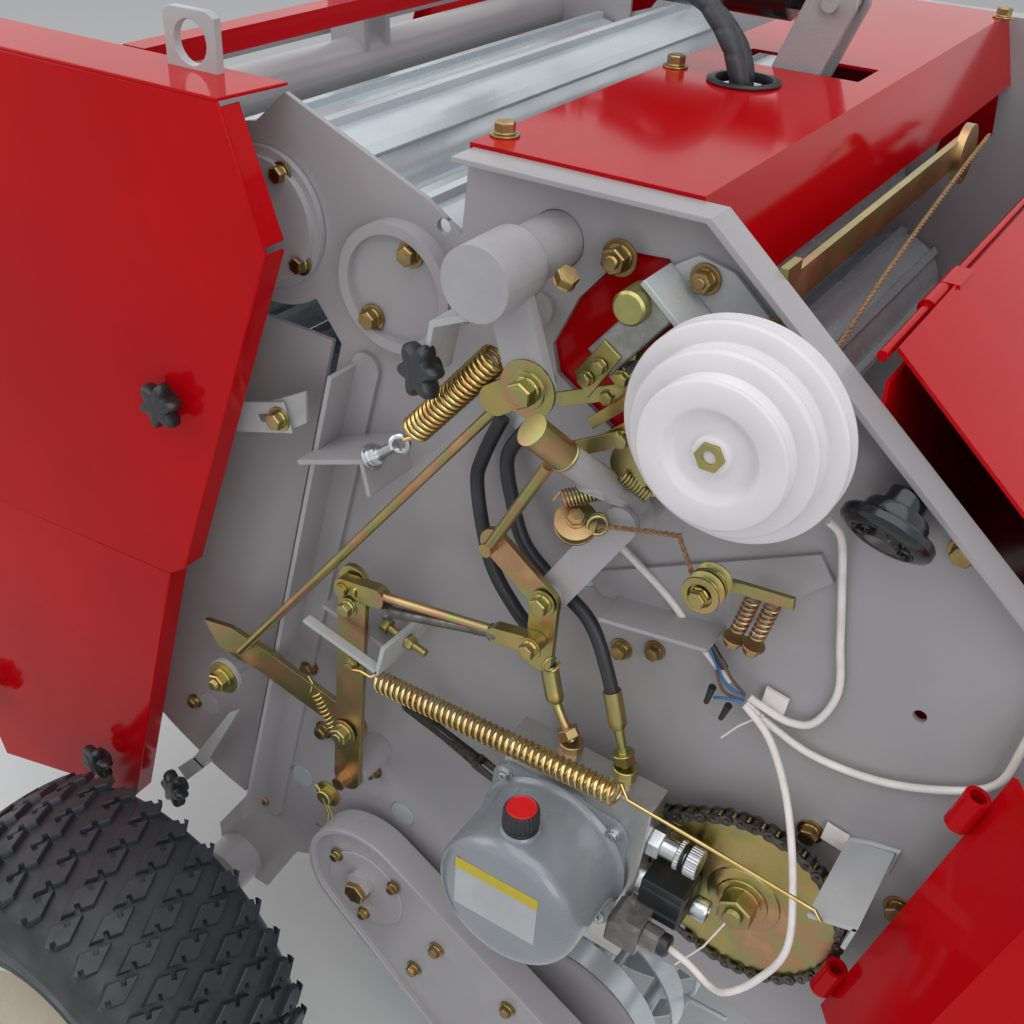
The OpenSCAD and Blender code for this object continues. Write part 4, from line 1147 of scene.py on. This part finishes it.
class BALER_OT_valve(BalerOperator, bpy.types.Operator):
    """Builds the pump block with its relief cartridge, solenoid coil and clear connector"""

    bl_idname = "baler.valve"
    bl_label = "Pump block and valve"

    def execute(self, context):
        block = Shape()
        block.plate(34, tilted(box_outline(-62, -100, BLOCK_FRONT, 98)), 32)
        block.plate(0.5, tilted(box_outline(-58, -52, -2, 52)), 34)
        block.make("pump_block_milled", "milled_aluminium", bevel=1.2, replaces=["pump_block"])
        bright = Shape()
        relief = on_block(BLOCK_FRONT, 50, 50)
        bright.levels(relief, hexagon(24), ((0.94, 0), (1, 1), (1, 11), (0.94, 12)))
        bright.lathe(relief, [(10, 11), (10, 26), (9, 27), (9, 44)], 32)
        for low, high in ((26, 31), (36, 48)):
            bright.rings(ridged(relief, ((low, 13), (low + 0.8, 14), (high - 1, 14), (high, 13)), 30, 0.6))
        coil = on_block(BLOCK_FRONT, 51, 1)
        bright.lathe(coil, [(16, 0), (16, 5), (14, 6)], 32)
        bright.lathe(coil, [(8, 50), (10, 51), (10.5, 52), (10.5, 64), (9.4, 66), (5.5, 66), (4.4, 64)], 32)
        bright.make("relief_cartridge", "bright_zinc", smooth=35, replaces=["valve"])
        black = Shape()
        black.prism(coil, [(-21, -19), (21, -19), (21, 15), (17, 19), (-17, 19), (-21, 15)], 6, 48, 2)
        for x in (-13, 9):
            black.prism(coil, box_outline(x, -21, x + 4, 18), 8, 46)
        for low in (31.4, 34):
            black.lathe(relief, [(9, low), (12.4, low + 0.4), (12.4, low + 1.6), (9, low + 2)], 28)
        gland = on_block(108, 85, -24)
        black.lathe(gland, [(9, 16), (10.6, 16.4), (10.6, 24), (8, 26), (4, 26)], 12)
        black.make("solenoid_coil", "black_plastic", smooth=35, bevel=0.8)
        socket = Shape()
        socket.plate(69, tilted([(76, -44), (108, -44), (108, -8), (82, -8), (76, -14)]), 31, 4)
        socket.lathe(gland, [(11.6, 0), (11.6, 15), (10, 17)], 24)
        socket.make("valve_connector", "smoked_polycarbonate", smooth=35, bevel=0.8)
        return {"FINISHED"}


# Places of the cables, their wires' ends, the taped ends and the ties' tails: x, z and out
WHITE_CABLES = [
    # From under the pulley down to the splice
    [(520, 1000, 20), (530, 985, 12), (537, 940, 6), (545, 890, 5), (552, 845, 5), (540, 808, 6),
     (520, 800, 8), (498, 806, 10), (486, 812, 12)],
    # From behind the hoses to the splice
    [(352, 905, 6), (372, 893, 6), (405, 870, 6), (440, 838, 8), (468, 818, 10)],
    # From the splice forward to the guard
    [(484, 806, 12), (505, 790, 8), (545, 775, 6), (600, 778, 6), (650, 797, 6), (680, 822, 8), (688, 860, 8),
     (690, 900, 8), (684, 940, 8)],
    # From the splice down to the solenoid's connector
    [(484, 804, 14), (512, 784, 20), (540, 740, 34), (566, 690, 66), (578, 650, 92), (562, 606, 98),
     (540, 575, 100), (522, 562, 92), (500, 568, 87), (474, 574, 85)],
]
WIRE_ENDS = {
    "brown": [[(482, 812, 12), (470, 826, 16), (458, 840, 14)],
              [(482, 806, 12), (466, 812, 18), (456, 828, 16)]],
    "blue": [[(482, 810, 12), (464, 818, 14), (446, 846, 12)],
             [(482, 806, 14), (468, 806, 18), (458, 800, 16)]],
}
TAPED_ENDS = [[(462, 832, 14), (448, 848, 12)], [(456, 812, 18), (452, 792, 16)],
              [(472, 800, 18), (466, 780, 14)]]
TIE_TAILS = [[(500, 800, 12), (482, 780, 14), (470, 762, 16)],
             [(488, 560, 88), (508, 592, 82), (520, 622, 74)]]
CABLE_R, WIRE_R = 3.2, 1.3


class BALER_OT_cables(BalerOperator, bpy.types.Operator):
    """Lays the white cables along the plate, with their spliced wires and ties"""

    bl_idname = "baler.cables"
    bl_label = "Cables"

    def execute(self, context):
        sheath = Shape()
        for places in WHITE_CABLES:
            sheath.sweep(route(places, 4), CABLE_R, 12)
        sheath.make("white_cables", "white_cable", smooth=60)
        for colour, ends in WIRE_ENDS.items():
            wires = Shape()
            for places in ends:
                wires.sweep(route(places, 2.5), WIRE_R)
            wires.make(f"{colour}_wires", f"{colour}_wire", smooth=60)
        tape = Shape()
        for places in TAPED_ENDS:
            tape.wire(places, [3.4, 2.2], 10)
        tape.make("splice_tape", "black_plastic", smooth=40)
        ties = Shape()
        for x, z in ((504, 812), (576, 700)):
            ties.plate(2, [(x - 10, z - 8), (x + 10, z - 12), (x + 12, z + 6), (x - 8, z + 10)], 3)
        for places in TIE_TAILS:
            ties.wire(places, 0.9)
        ties.make("cable_ties", "white_cable", smooth=40)
        return {"FINISHED"}


TWINE_R = 2.0
TWINE_GAP = 1.6
TWINE_LAY = 13  # a ply's pitch round the other


def twine_line(shape, points, seed):
    """A two-ply twine along a line of places, with a few loose fibres."""
    line = evenly(smooth_line(points), TWINE_GAP)
    for phase in (0, math.pi):
        ply = []
        for k, point in enumerate(line):
            way = (line[min(k + 1, len(line) - 1)] - line[max(k - 1, 0)]).normalized()
            side = way.orthogonal().normalized()
            other = way.cross(side)
            angle = k * TWINE_GAP * FULL_TURN / TWINE_LAY + phase
            ply.append(point + (math.cos(angle) * side + math.sin(angle) * other) * TWINE_R * 0.5)
        shape.sweep(ply, TWINE_R * 0.62, 6)
    turns = random.Random(seed)
    for k in range(0, len(line), 7):
        away = Vector([turns.uniform(-1, 1) for _ in range(3)]).normalized()
        shape.sweep([line[k], line[k] + away * turns.uniform(3, 7)], [0.22, 0.1], 3)


class BALER_OT_twine(BalerOperator, bpy.types.Operator):
    """Threads the sisal twine through its guides"""

    bl_idname = "baler.twine"
    bl_label = "Twine"

    def execute(self, context):
        twine = Shape()
        twine_line(twine, [at(352, 948, 52), at(390, 958, 52), at(427, 972, 60)], 3)
        twine_line(twine, [at(427, 975, 64), at(430, 966, 62), at(440, 940, 58), at(446, 922, 60)], 5)
        twine_line(twine, [Vector((472, 30, 1160)), Vector((474, -100, 1142)), Vector((478, -260, 1118)),
                           Vector((482, -400, 1088))], 8)
        twine.make("sisal_twine", "sisal_twine", smooth=60)
        return {"FINISHED"}


# The twine gear's straps: out, two ends of x and z, width and thickness
GEAR_STRAPS = [
    (44, (338, 1030), (392, 1082), 9), (54, (350, 1022), (402, 1070), 8),
    (60, (330, 1012), (372, 1036), 12), (36, (366, 1010), (398, 1046), 12),
]
GEAR_BOLTS = ((362, 1092, 34), (352, 1072, 34), (388, 1052, 50), (372, 1034, 58), (396, 1088, 38))
GUIDE_PLACE = (338, 944, 56)
GUIDE_LEAN = Vector((0.25, -0.5, 0.83))
TENSION_ROLLER = [(5, 0), (15, 0), (15.5, 1.5), (11, 4), (10, 6), (11, 8), (15.5, 10.5), (15, 12), (10, 12.4),
                  (9, 9)]


class BALER_OT_knotter(BalerOperator, bpy.types.Operator):
    """Adds the twine mechanism's plates, rollers and small springs round the pulley"""

    bl_idname = "baler.twine_gear"
    bl_label = "Twine gear"

    def execute(self, context):
        self.plates()
        self.knotter()
        self.window()
        self.tensioner()
        return {"FINISHED"}

    @staticmethod
    def plates():
        """Chromated plates, rollers and small springs behind the pulley, and the first guide."""
        zinc = Shape()
        zinc.plate(30, [(368, 1070), (392, 1112), (408, 1104), (384, 1060)], 4, 0.6)
        zinc.plate(14, [(352, 1052), (400, 1098), (410, 1088), (362, 1040)], 5, 0.6)
        for out, a, b, width in GEAR_STRAPS:
            zinc.strap(out, a, b, width, 3.5, 0.5)
        for x, z, out in GEAR_BOLTS:
            zinc.head(x, z, out, 11, 0.4, washer=False)
        for x, z, out, r in ((378, 1010, 40, 18), (384, 1004, 26, 24)):
            zinc.lathe(outward(x, z, out), [(4, 0), (r, 0), (r, 3), (r - 5, 4), (r - 5, 8), (r, 9), (r, 12),
                                            (4, 12)])
        zinc.sweep(helix(at(372, 1002, 52), at(392, 986, 44), 6, 9, 12), 1.4, 6)
        # Return spring of the swing arm and its hooks
        zinc.sweep([at(322, 966, 66), *helix(at(330, 970, 64), at(352, 978, 50), 6.5, 10, 12),
                    at(356, 980, 46)], 1.2, 6)
        # First twine guide: two discs on an upright pin
        guide = at(*GUIDE_PLACE)
        for lift in (0, 9):
            zinc.lathe(facing(guide + GUIDE_LEAN * lift, GUIDE_LEAN),
                       [(4, 0), (17, 0), (17, 2.5), (8, 3.5), (8, 6)], 28)
        zinc.nut(guide + GUIDE_LEAN * 12, GUIDE_LEAN, 13, 0.2)
        zinc.sweep(helix(at(353, 950, 50), at(358, 952, 58), 8, 2, 18), 1.6, 6)
        zinc.make("twine_plates", "yellow_zinc", bevel=0.3)

    @staticmethod
    def knotter():
        """The knotter's casting and its greenish plates."""
        casting = Shape()
        casting.strap(22, (338, 1078), (386, 1138), 26, 22, 3)
        casting.strap(10, (350, 1050), (396, 1100), 30, 14, 3)
        casting.make("knotter_casting", "rough_casting", smooth=35, bevel=1.2)
        green = Shape()
        green.plate(46, [(366, 1079), (392, 1118), (412, 1106), (388, 1066)], 4, 0.6)
        green.plate(44, [(322, 1068), (344, 1100), (358, 1090), (334, 1050)], 3, 0.6)
        green.strap(30, (300, 1032), (366, 1062), 12, 3, 0.5)
        for x, z in ((333, 1067), (343, 1080), (362, 1076), (352, 1058)):
            green.head(x, z, 48, 10, 0.4, washer=False)
        green.lathe(outward(364, 1132, 30), [(6, 0), (13, 0), (13, 24), (11, 26), (6, 26)], 28)
        green.make("knotter_plates", "green_zinc", bevel=0.3)

    @staticmethod
    def window():
        """The red sheet behind the window and the angle at its edge."""
        skirt = Shape()
        skirt.plate(-8.3, [(272, 985), (452, 985), (452, 1120), (400, 1165), (272, 1165)], 3)
        skirt.make("window_skirt", "red_enamel")
        bracket = Shape()
        bracket.plate(WELD, [(372, 1150), (390, 1162), (418, 1156), (470, 1112), (482, 1082), (470, 1070)], 5)
        bracket.strap(4, (368, 1150), (470, 1066), 5, 42)
        bracket.make("twine_angle", "bright_grey_enamel", bevel=0.6)

    @staticmethod
    def tensioner():
        """The twine tensioner's grooved rollers, its two springs and their strap."""
        tension = Shape()
        for out in (44, 58):
            tension.lathe(outward(452, 934, out), TENSION_ROLLER, 36)
        tension.head(452, 934, 70, 13, 0.2, washer=False)
        for x in (0, 16):
            tension.sweep(helix(at(470 + x, 880, 24), at(478 + x, 915, 24), 5.6, 7, 12), 1.3, 6)
            tension.bolt(at(469 + x, 874, 24), (-0.2, 0, -1), 12)
        tension.strap(30, (462, 926), (512, 930), 10, 4, 0.6)
        tension.make("tensioner_rollers", "yellow_zinc", replaces=["twine_tensioner"])


# Pins and bolts of the linkage: x, z, out, width across flats, length of thread that shows
LINKAGE_BOLTS = ((98, 603, 58, 17, 3), (121, 779, 72, 13, 0), (314, 822, 72, 13, 0), (303, 1062, 82, 19, 0),
                 (316, 862, 60, 15, 0), (110, 696, 57, 9, 0))
SPLIT_PIN = [[(84, 548, 90), (96, 537, 91), (104, 524, 92), (107, 512, 92)],
             [(96, 537, 93), (102, 520, 93), (100, 508, 93)]]
POST_TOP, POST_FOOT, POST_BUSH = (344, 1025, 92), (366, 976, 40), (328, 1053, 116)


class BALER_OT_linkage(BalerOperator, bpy.types.Operator):
    """Adds pins, nuts and split pins to the latch linkage, and spring clips in its clevises"""

    bl_idname = "baler.linkage"
    bl_label = "Linkage pins"

    def execute(self, context):
        zinc = Shape()
        for x, z, out, across, stub in LINKAGE_BOLTS:
            zinc.head(x, z, out, across, 0.5, stub=stub)
        zinc.lathe(outward(303, 1062, 80.2), [(8, 0), (23, 0), (23, 2.2), (8, 2.2)], 40)
        zinc.lathe(outward(-64, 596, 60), [(8, 0), (19, 0), (19, 2.5), (8, 2.5)], 40)
        zinc.head(-64, 596, 62.5, 19, 0.3, washer=False, stub=6)
        zinc.lathe(outward(96, 537, 84), [(7, 0), (15, 0), (15, 2), (8.5, 2), (8.5, 9), (7.5, 10)])
        # Split pin through the lever's foot and spring clips in the clevises
        for places in SPLIT_PIN:
            zinc.wire(places, 1.5)
        for x, z in ((130, 796), (330, 808)):
            zinc.sweep(helix(at(x, z, 66), at(x + 3, z, 68), 7, 1, 20), 1.2, 6)
        # Adjusting screw through the stop bracket
        way = Vector((0.96, 0, -0.27)).normalized()
        start = at(136, 744, 38)
        thread = [(4 if k % 2 else 3.6, k) for k in range(1, 50)]
        zinc.lathe(facing(start, way), [(3.2, 0), *thread, (2.6, 50)], 16)
        zinc.nut(start + way * 6, -way, 13, 0.3)
        zinc.nut(start + way * 27, way, 13, 0.1)
        zinc.lathe(facing(at(*POST_BUSH), at(*POST_TOP) - at(*POST_BUSH)), [
            (5, 0), (13, 0.5), (13, 1.5), (12.2, 2), (12.2, 38), (13, 38.5), (13, 39.5), (5, 40)], 36)
        zinc.make("linkage_pins", "yellow_zinc")
        self.threaded_rod(at(160, 786, 64.6), at(276, 815, 64.6))
        post = Shape()
        post.lathe(facing(at(*POST_TOP), at(*POST_FOOT) - at(*POST_TOP)), [(5, 0), (11.5, 0), (11.5, 62)], 36)
        post.make("swing_post", "grey_enamel", smooth=40)
        return {"FINISHED"}

    @staticmethod
    def threaded_rod(low, high):
        """The link rod between its clevises, threaded at both ends, with its lock nuts."""
        rod = Shape()
        run = (high - low).length
        thread = [(5.3 if k % 2 and (k < 24 or k > run - 24) else 4.8, k) for k in range(int(run))]
        rod.lathe(facing(low, high - low), [(4, -0.5), *thread, (4, run)], 16)
        for step in (-3, run - 6):
            rod.nut(low + (high - low).normalized() * step, high - low, 13, 0.2)
        rod.make("link_rod_thread", "dark_steel", smooth=35)


HORN_PROFILE = [
    (8, -28), (14, -26), (15, -14), (22, -12), (24, -8), (24, -2), (33, 0), (34.5, 2), (34.5, 7), (33, 9),
    (26, 12), (24, 12), (22, 9), (14, 9), (12, 14), (4, 14),
]


class BALER_OT_horn(BalerOperator, bpy.types.Operator):
    """Moulds the small horn on its bracket"""

    bl_idname = "baler.horn"
    bl_label = "Horn"

    def execute(self, context):
        shape = Shape()
        stand = facing(at(566, 1020, 34), (-0.15, -0.75, -0.65))
        shape.lathe(stand, HORN_PROFILE, 48)
        for x, y in arc((0, 0), 18, 0, 300, 5):
            shape.lathe(stand @ Matrix.Translation((x, y, 9)), [(3, 0), (3, 2.4), (2, 3)], 10)
        shape.make("horn_moulded", "black_gloss_plastic", smooth=35, replaces=["horn"])
        return {"FINISHED"}


# The lifting eye's plate in x and z, its thickness and its hole
EYE_LOW, EYE_HIGH = (-92, 1214), (-36, 1264)
EYE_HOLE, EYE_HOLE_R = (-64, 1238), 18
EYE_THICK = 8
EYE_Y = 445


class BALER_OT_lifting_eye(BalerOperator, bpy.types.Operator):
    """Stands the lifting eyes on the gate's side plates"""

    bl_idname = "baler.lifting_eyes"
    bl_label = "Lifting eyes"

    def execute(self, context):
        eyes = Shape()
        hole = arc(EYE_HOLE, EYE_HOLE_R, 7.5, 352.5, 23)
        outer = [self.on_box(p) for p in hole]
        for y in (-EYE_Y, EYE_Y):
            stand = upright(y + EYE_THICK / 2)
            eyes.rings([[stand @ Vector((x, z, h)) for x, z in ring]
                        for ring, h in ((outer, 0), (outer, EYE_THICK), (hole, EYE_THICK), (hole, 0))],
                       closed=True)
        eyes.make("lifting_eyes", "bright_grey_enamel", "gate", 30, bevel=0.5)
        return {"FINISHED"}

    @staticmethod
    def on_box(point):
        """Where a ray from the eye's hole through a point meets the plate's outline."""
        way = [p - c for p, c in zip(point, EYE_HOLE)]
        reaches = [((high if step > 0 else low) - c) / step
                   for step, low, high, c in zip(way, EYE_LOW, EYE_HIGH, EYE_HOLE) if abs(step) > 1e-6]
        return tuple(c + step * min(reaches) for step, c in zip(way, EYE_HOLE))


# Lamps: name, place, target, width in metres and power in watts
LAMPS = (
    ("sky_panel", (0.6, -1.2, 4.6), (0, 0, 0.6), 4.5, 92),
    ("front_panel", (3.6, -3.2, 2.6), (0, 0, 0.7), 2.6, 48),
    ("rear_panel", (-3.6, -2.2, 3.0), (0, 0, 0.7), 2.6, 36),
)
FLOOR_HALF = 14.0
# The camera, from the photograph's own vanishing lines: place, lens, and yaw, pitch and roll
CAMERA_PLACE = (0.525, -1.201, 1.475)
CAMERA_LENS = 43.77
CAMERA_TURN = (30.85, 32.8, 2.9)


def any_ray(tree, *rays):
    """A value of 1 where the ray is one of those named."""
    path = add_node(tree, "ShaderNodeLightPath")
    seen = path.outputs[rays[0]]
    for ray in rays[1:]:
        links = {0: seen, 1: path.outputs[ray]}
        seen = add_node(tree, "ShaderNodeMath", {"operation": "MAXIMUM"}, links).outputs["Value"]
    return seen


def either(tree, seen, usual, backdrop, output):
    """Sends the usual shader to the output, and the backdrop where seen is 1."""
    links = {"Fac": seen, 1: usual.outputs[0], 2: backdrop.outputs[0]}
    mix = add_node(tree, "ShaderNodeMixShader", links=links)
    add_node(tree, output, links={"Surface": mix.outputs["Shader"]})


class BALER_OT_stage(BalerOperator, bpy.types.Operator):
    """Sets the floor, the light and the camera at the photograph's viewing angle"""

    bl_idname = "baler.stage"
    bl_label = "Floor, light and camera"

    def execute(self, context):
        scene = context.scene
        mesh = bpy.data.meshes.new("floor")
        corners = box_outline(-FLOOR_HALF, -FLOOR_HALF, FLOOR_HALF, FLOOR_HALF)
        mesh.from_pydata([(x, y, 0) for x, y in corners], [], [(0, 1, 2, 3)])
        mesh.materials.append(self.floor_material())
        floor = bpy.data.objects.new("floor", mesh)
        scene.collection.objects.link(floor)
        scene.world = self.world()
        for name, place, target, width, watts in LAMPS:
            lamp = bpy.data.lights.new(name, "AREA")
            lamp.size = width
            lamp.energy = watts
            holder = bpy.data.objects.new(name, lamp)
            holder.location = place
            holder.rotation_euler = (Vector(target) - Vector(place)).to_track_quat("-Z", "Y").to_euler()
            scene.collection.objects.link(holder)
        self.camera(scene)
        scene.view_settings.view_transform = "Standard"
        return {"FINISHED"}

    @staticmethod
    def floor_material():
        """Pale matt floor, white where a mirror or glass sees it."""
        material = bpy.data.materials.new("pale_floor")
        tree = cleared_tree(material)
        matt = add_node(tree, "ShaderNodeBsdfDiffuse", {"Color": (0.8, 0.8, 0.79, 1)})
        white = add_node(tree, "ShaderNodeEmission", {"Color": (0.9, 0.9, 0.9, 1), "Strength": 0.75})
        seen = any_ray(tree, "Is Glossy Ray", "Is Transmission Ray")
        either(tree, seen, matt, white, "ShaderNodeOutputMaterial")
        return material

    @staticmethod
    def world():
        """An even, bright overcast sky; white where the camera, a mirror or glass sees it."""
        world = bpy.data.worlds.new("overcast")
        tree = cleared_tree(world)
        sky = add_node(tree, "ShaderNodeBackground", {"Color": (0.93, 0.96, 1.0, 1), "Strength": 0.47})
        white = add_node(tree, "ShaderNodeBackground", {"Color": (1, 1, 1, 1), "Strength": 1.0})
        seen = any_ray(tree, "Is Camera Ray", "Is Glossy Ray", "Is Transmission Ray")
        either(tree, seen, sky, white, "ShaderNodeOutputWorld")
        return world

    @staticmethod
    def camera(scene):
        """Places the camera at its angles of yaw, pitch and roll."""
        yaw, pitch, roll = (math.radians(a) for a in CAMERA_TURN)
        right = Vector((math.cos(yaw), math.sin(yaw), 0))
        ahead = Vector((-math.sin(yaw) * math.cos(pitch), math.cos(yaw) * math.cos(pitch), -math.sin(pitch)))
        up = right.cross(ahead)
        rolled_right = math.cos(roll) * right + math.sin(roll) * up
        rolled_up = -math.sin(roll) * right + math.cos(roll) * up
        data = bpy.data.cameras.new("camera")
        data.lens = CAMERA_LENS
        data.sensor_width = 36
        data.clip_start = 0.05
        holder = bpy.data.objects.new("camera", data)
        turn = Matrix((rolled_right, rolled_up, -ahead)).transposed().to_4x4()
        holder.matrix_world = Matrix.Translation(CAMERA_PLACE) @ turn
        scene.collection.objects.link(holder)
        scene.camera = holder


class BALER_PT_panel(bpy.types.Panel):
    """Lists the baler's operators and settings"""

    bl_label = "Small round baler"
    bl_idname = "BALER_PT_panel"
    bl_space_type = "VIEW_3D"
    bl_region_type = "UI"
    bl_category = "Baler"

    def draw(self, context):
        for group in (context.scene.baler_sizes, context.scene.baler_colours):
            for name in group.bl_rna.properties.keys():
                if name not in ("rna_type", "name"):
                    self.layout.prop(group, name)
        for operator in OPERATORS:
            self.layout.operator(operator.bl_idname)


OPERATORS = (
    BALER_OT_finishes, BALER_OT_side_plate, BALER_OT_pickup_case, BALER_OT_gate_covers, BALER_OT_bolts,
    BALER_OT_knobs, BALER_OT_springs, BALER_OT_chain, BALER_OT_pulley, BALER_OT_tyres, BALER_OT_hoses,
    BALER_OT_oil_tank, BALER_OT_valve, BALER_OT_cables, BALER_OT_twine, BALER_OT_knotter, BALER_OT_linkage,
    BALER_OT_horn, BALER_OT_lifting_eye, BALER_OT_stage,
)
CLASSES = (BalerSizes, BalerColours, *OPERATORS, BALER_PT_panel)


def register():
    for cls in CLASSES:
        bpy.utils.register_class(cls)
    bpy.types.Scene.baler_sizes = bpy.props.PointerProperty(type=BalerSizes)
    bpy.types.Scene.baler_colours = bpy.props.PointerProperty(type=BalerColours)


def unregister():
    del bpy.types.Scene.baler_sizes
    del bpy.types.Scene.baler_colours
    for cls in reversed(CLASSES):
        bpy.utils.unregister_class(cls)


def main():
    register()
    for operator in OPERATORS:
        group, name = operator.bl_idname.split(".")
        getattr(getattr(bpy.ops, group), name)()


if __name__ == "__main__":
    main()
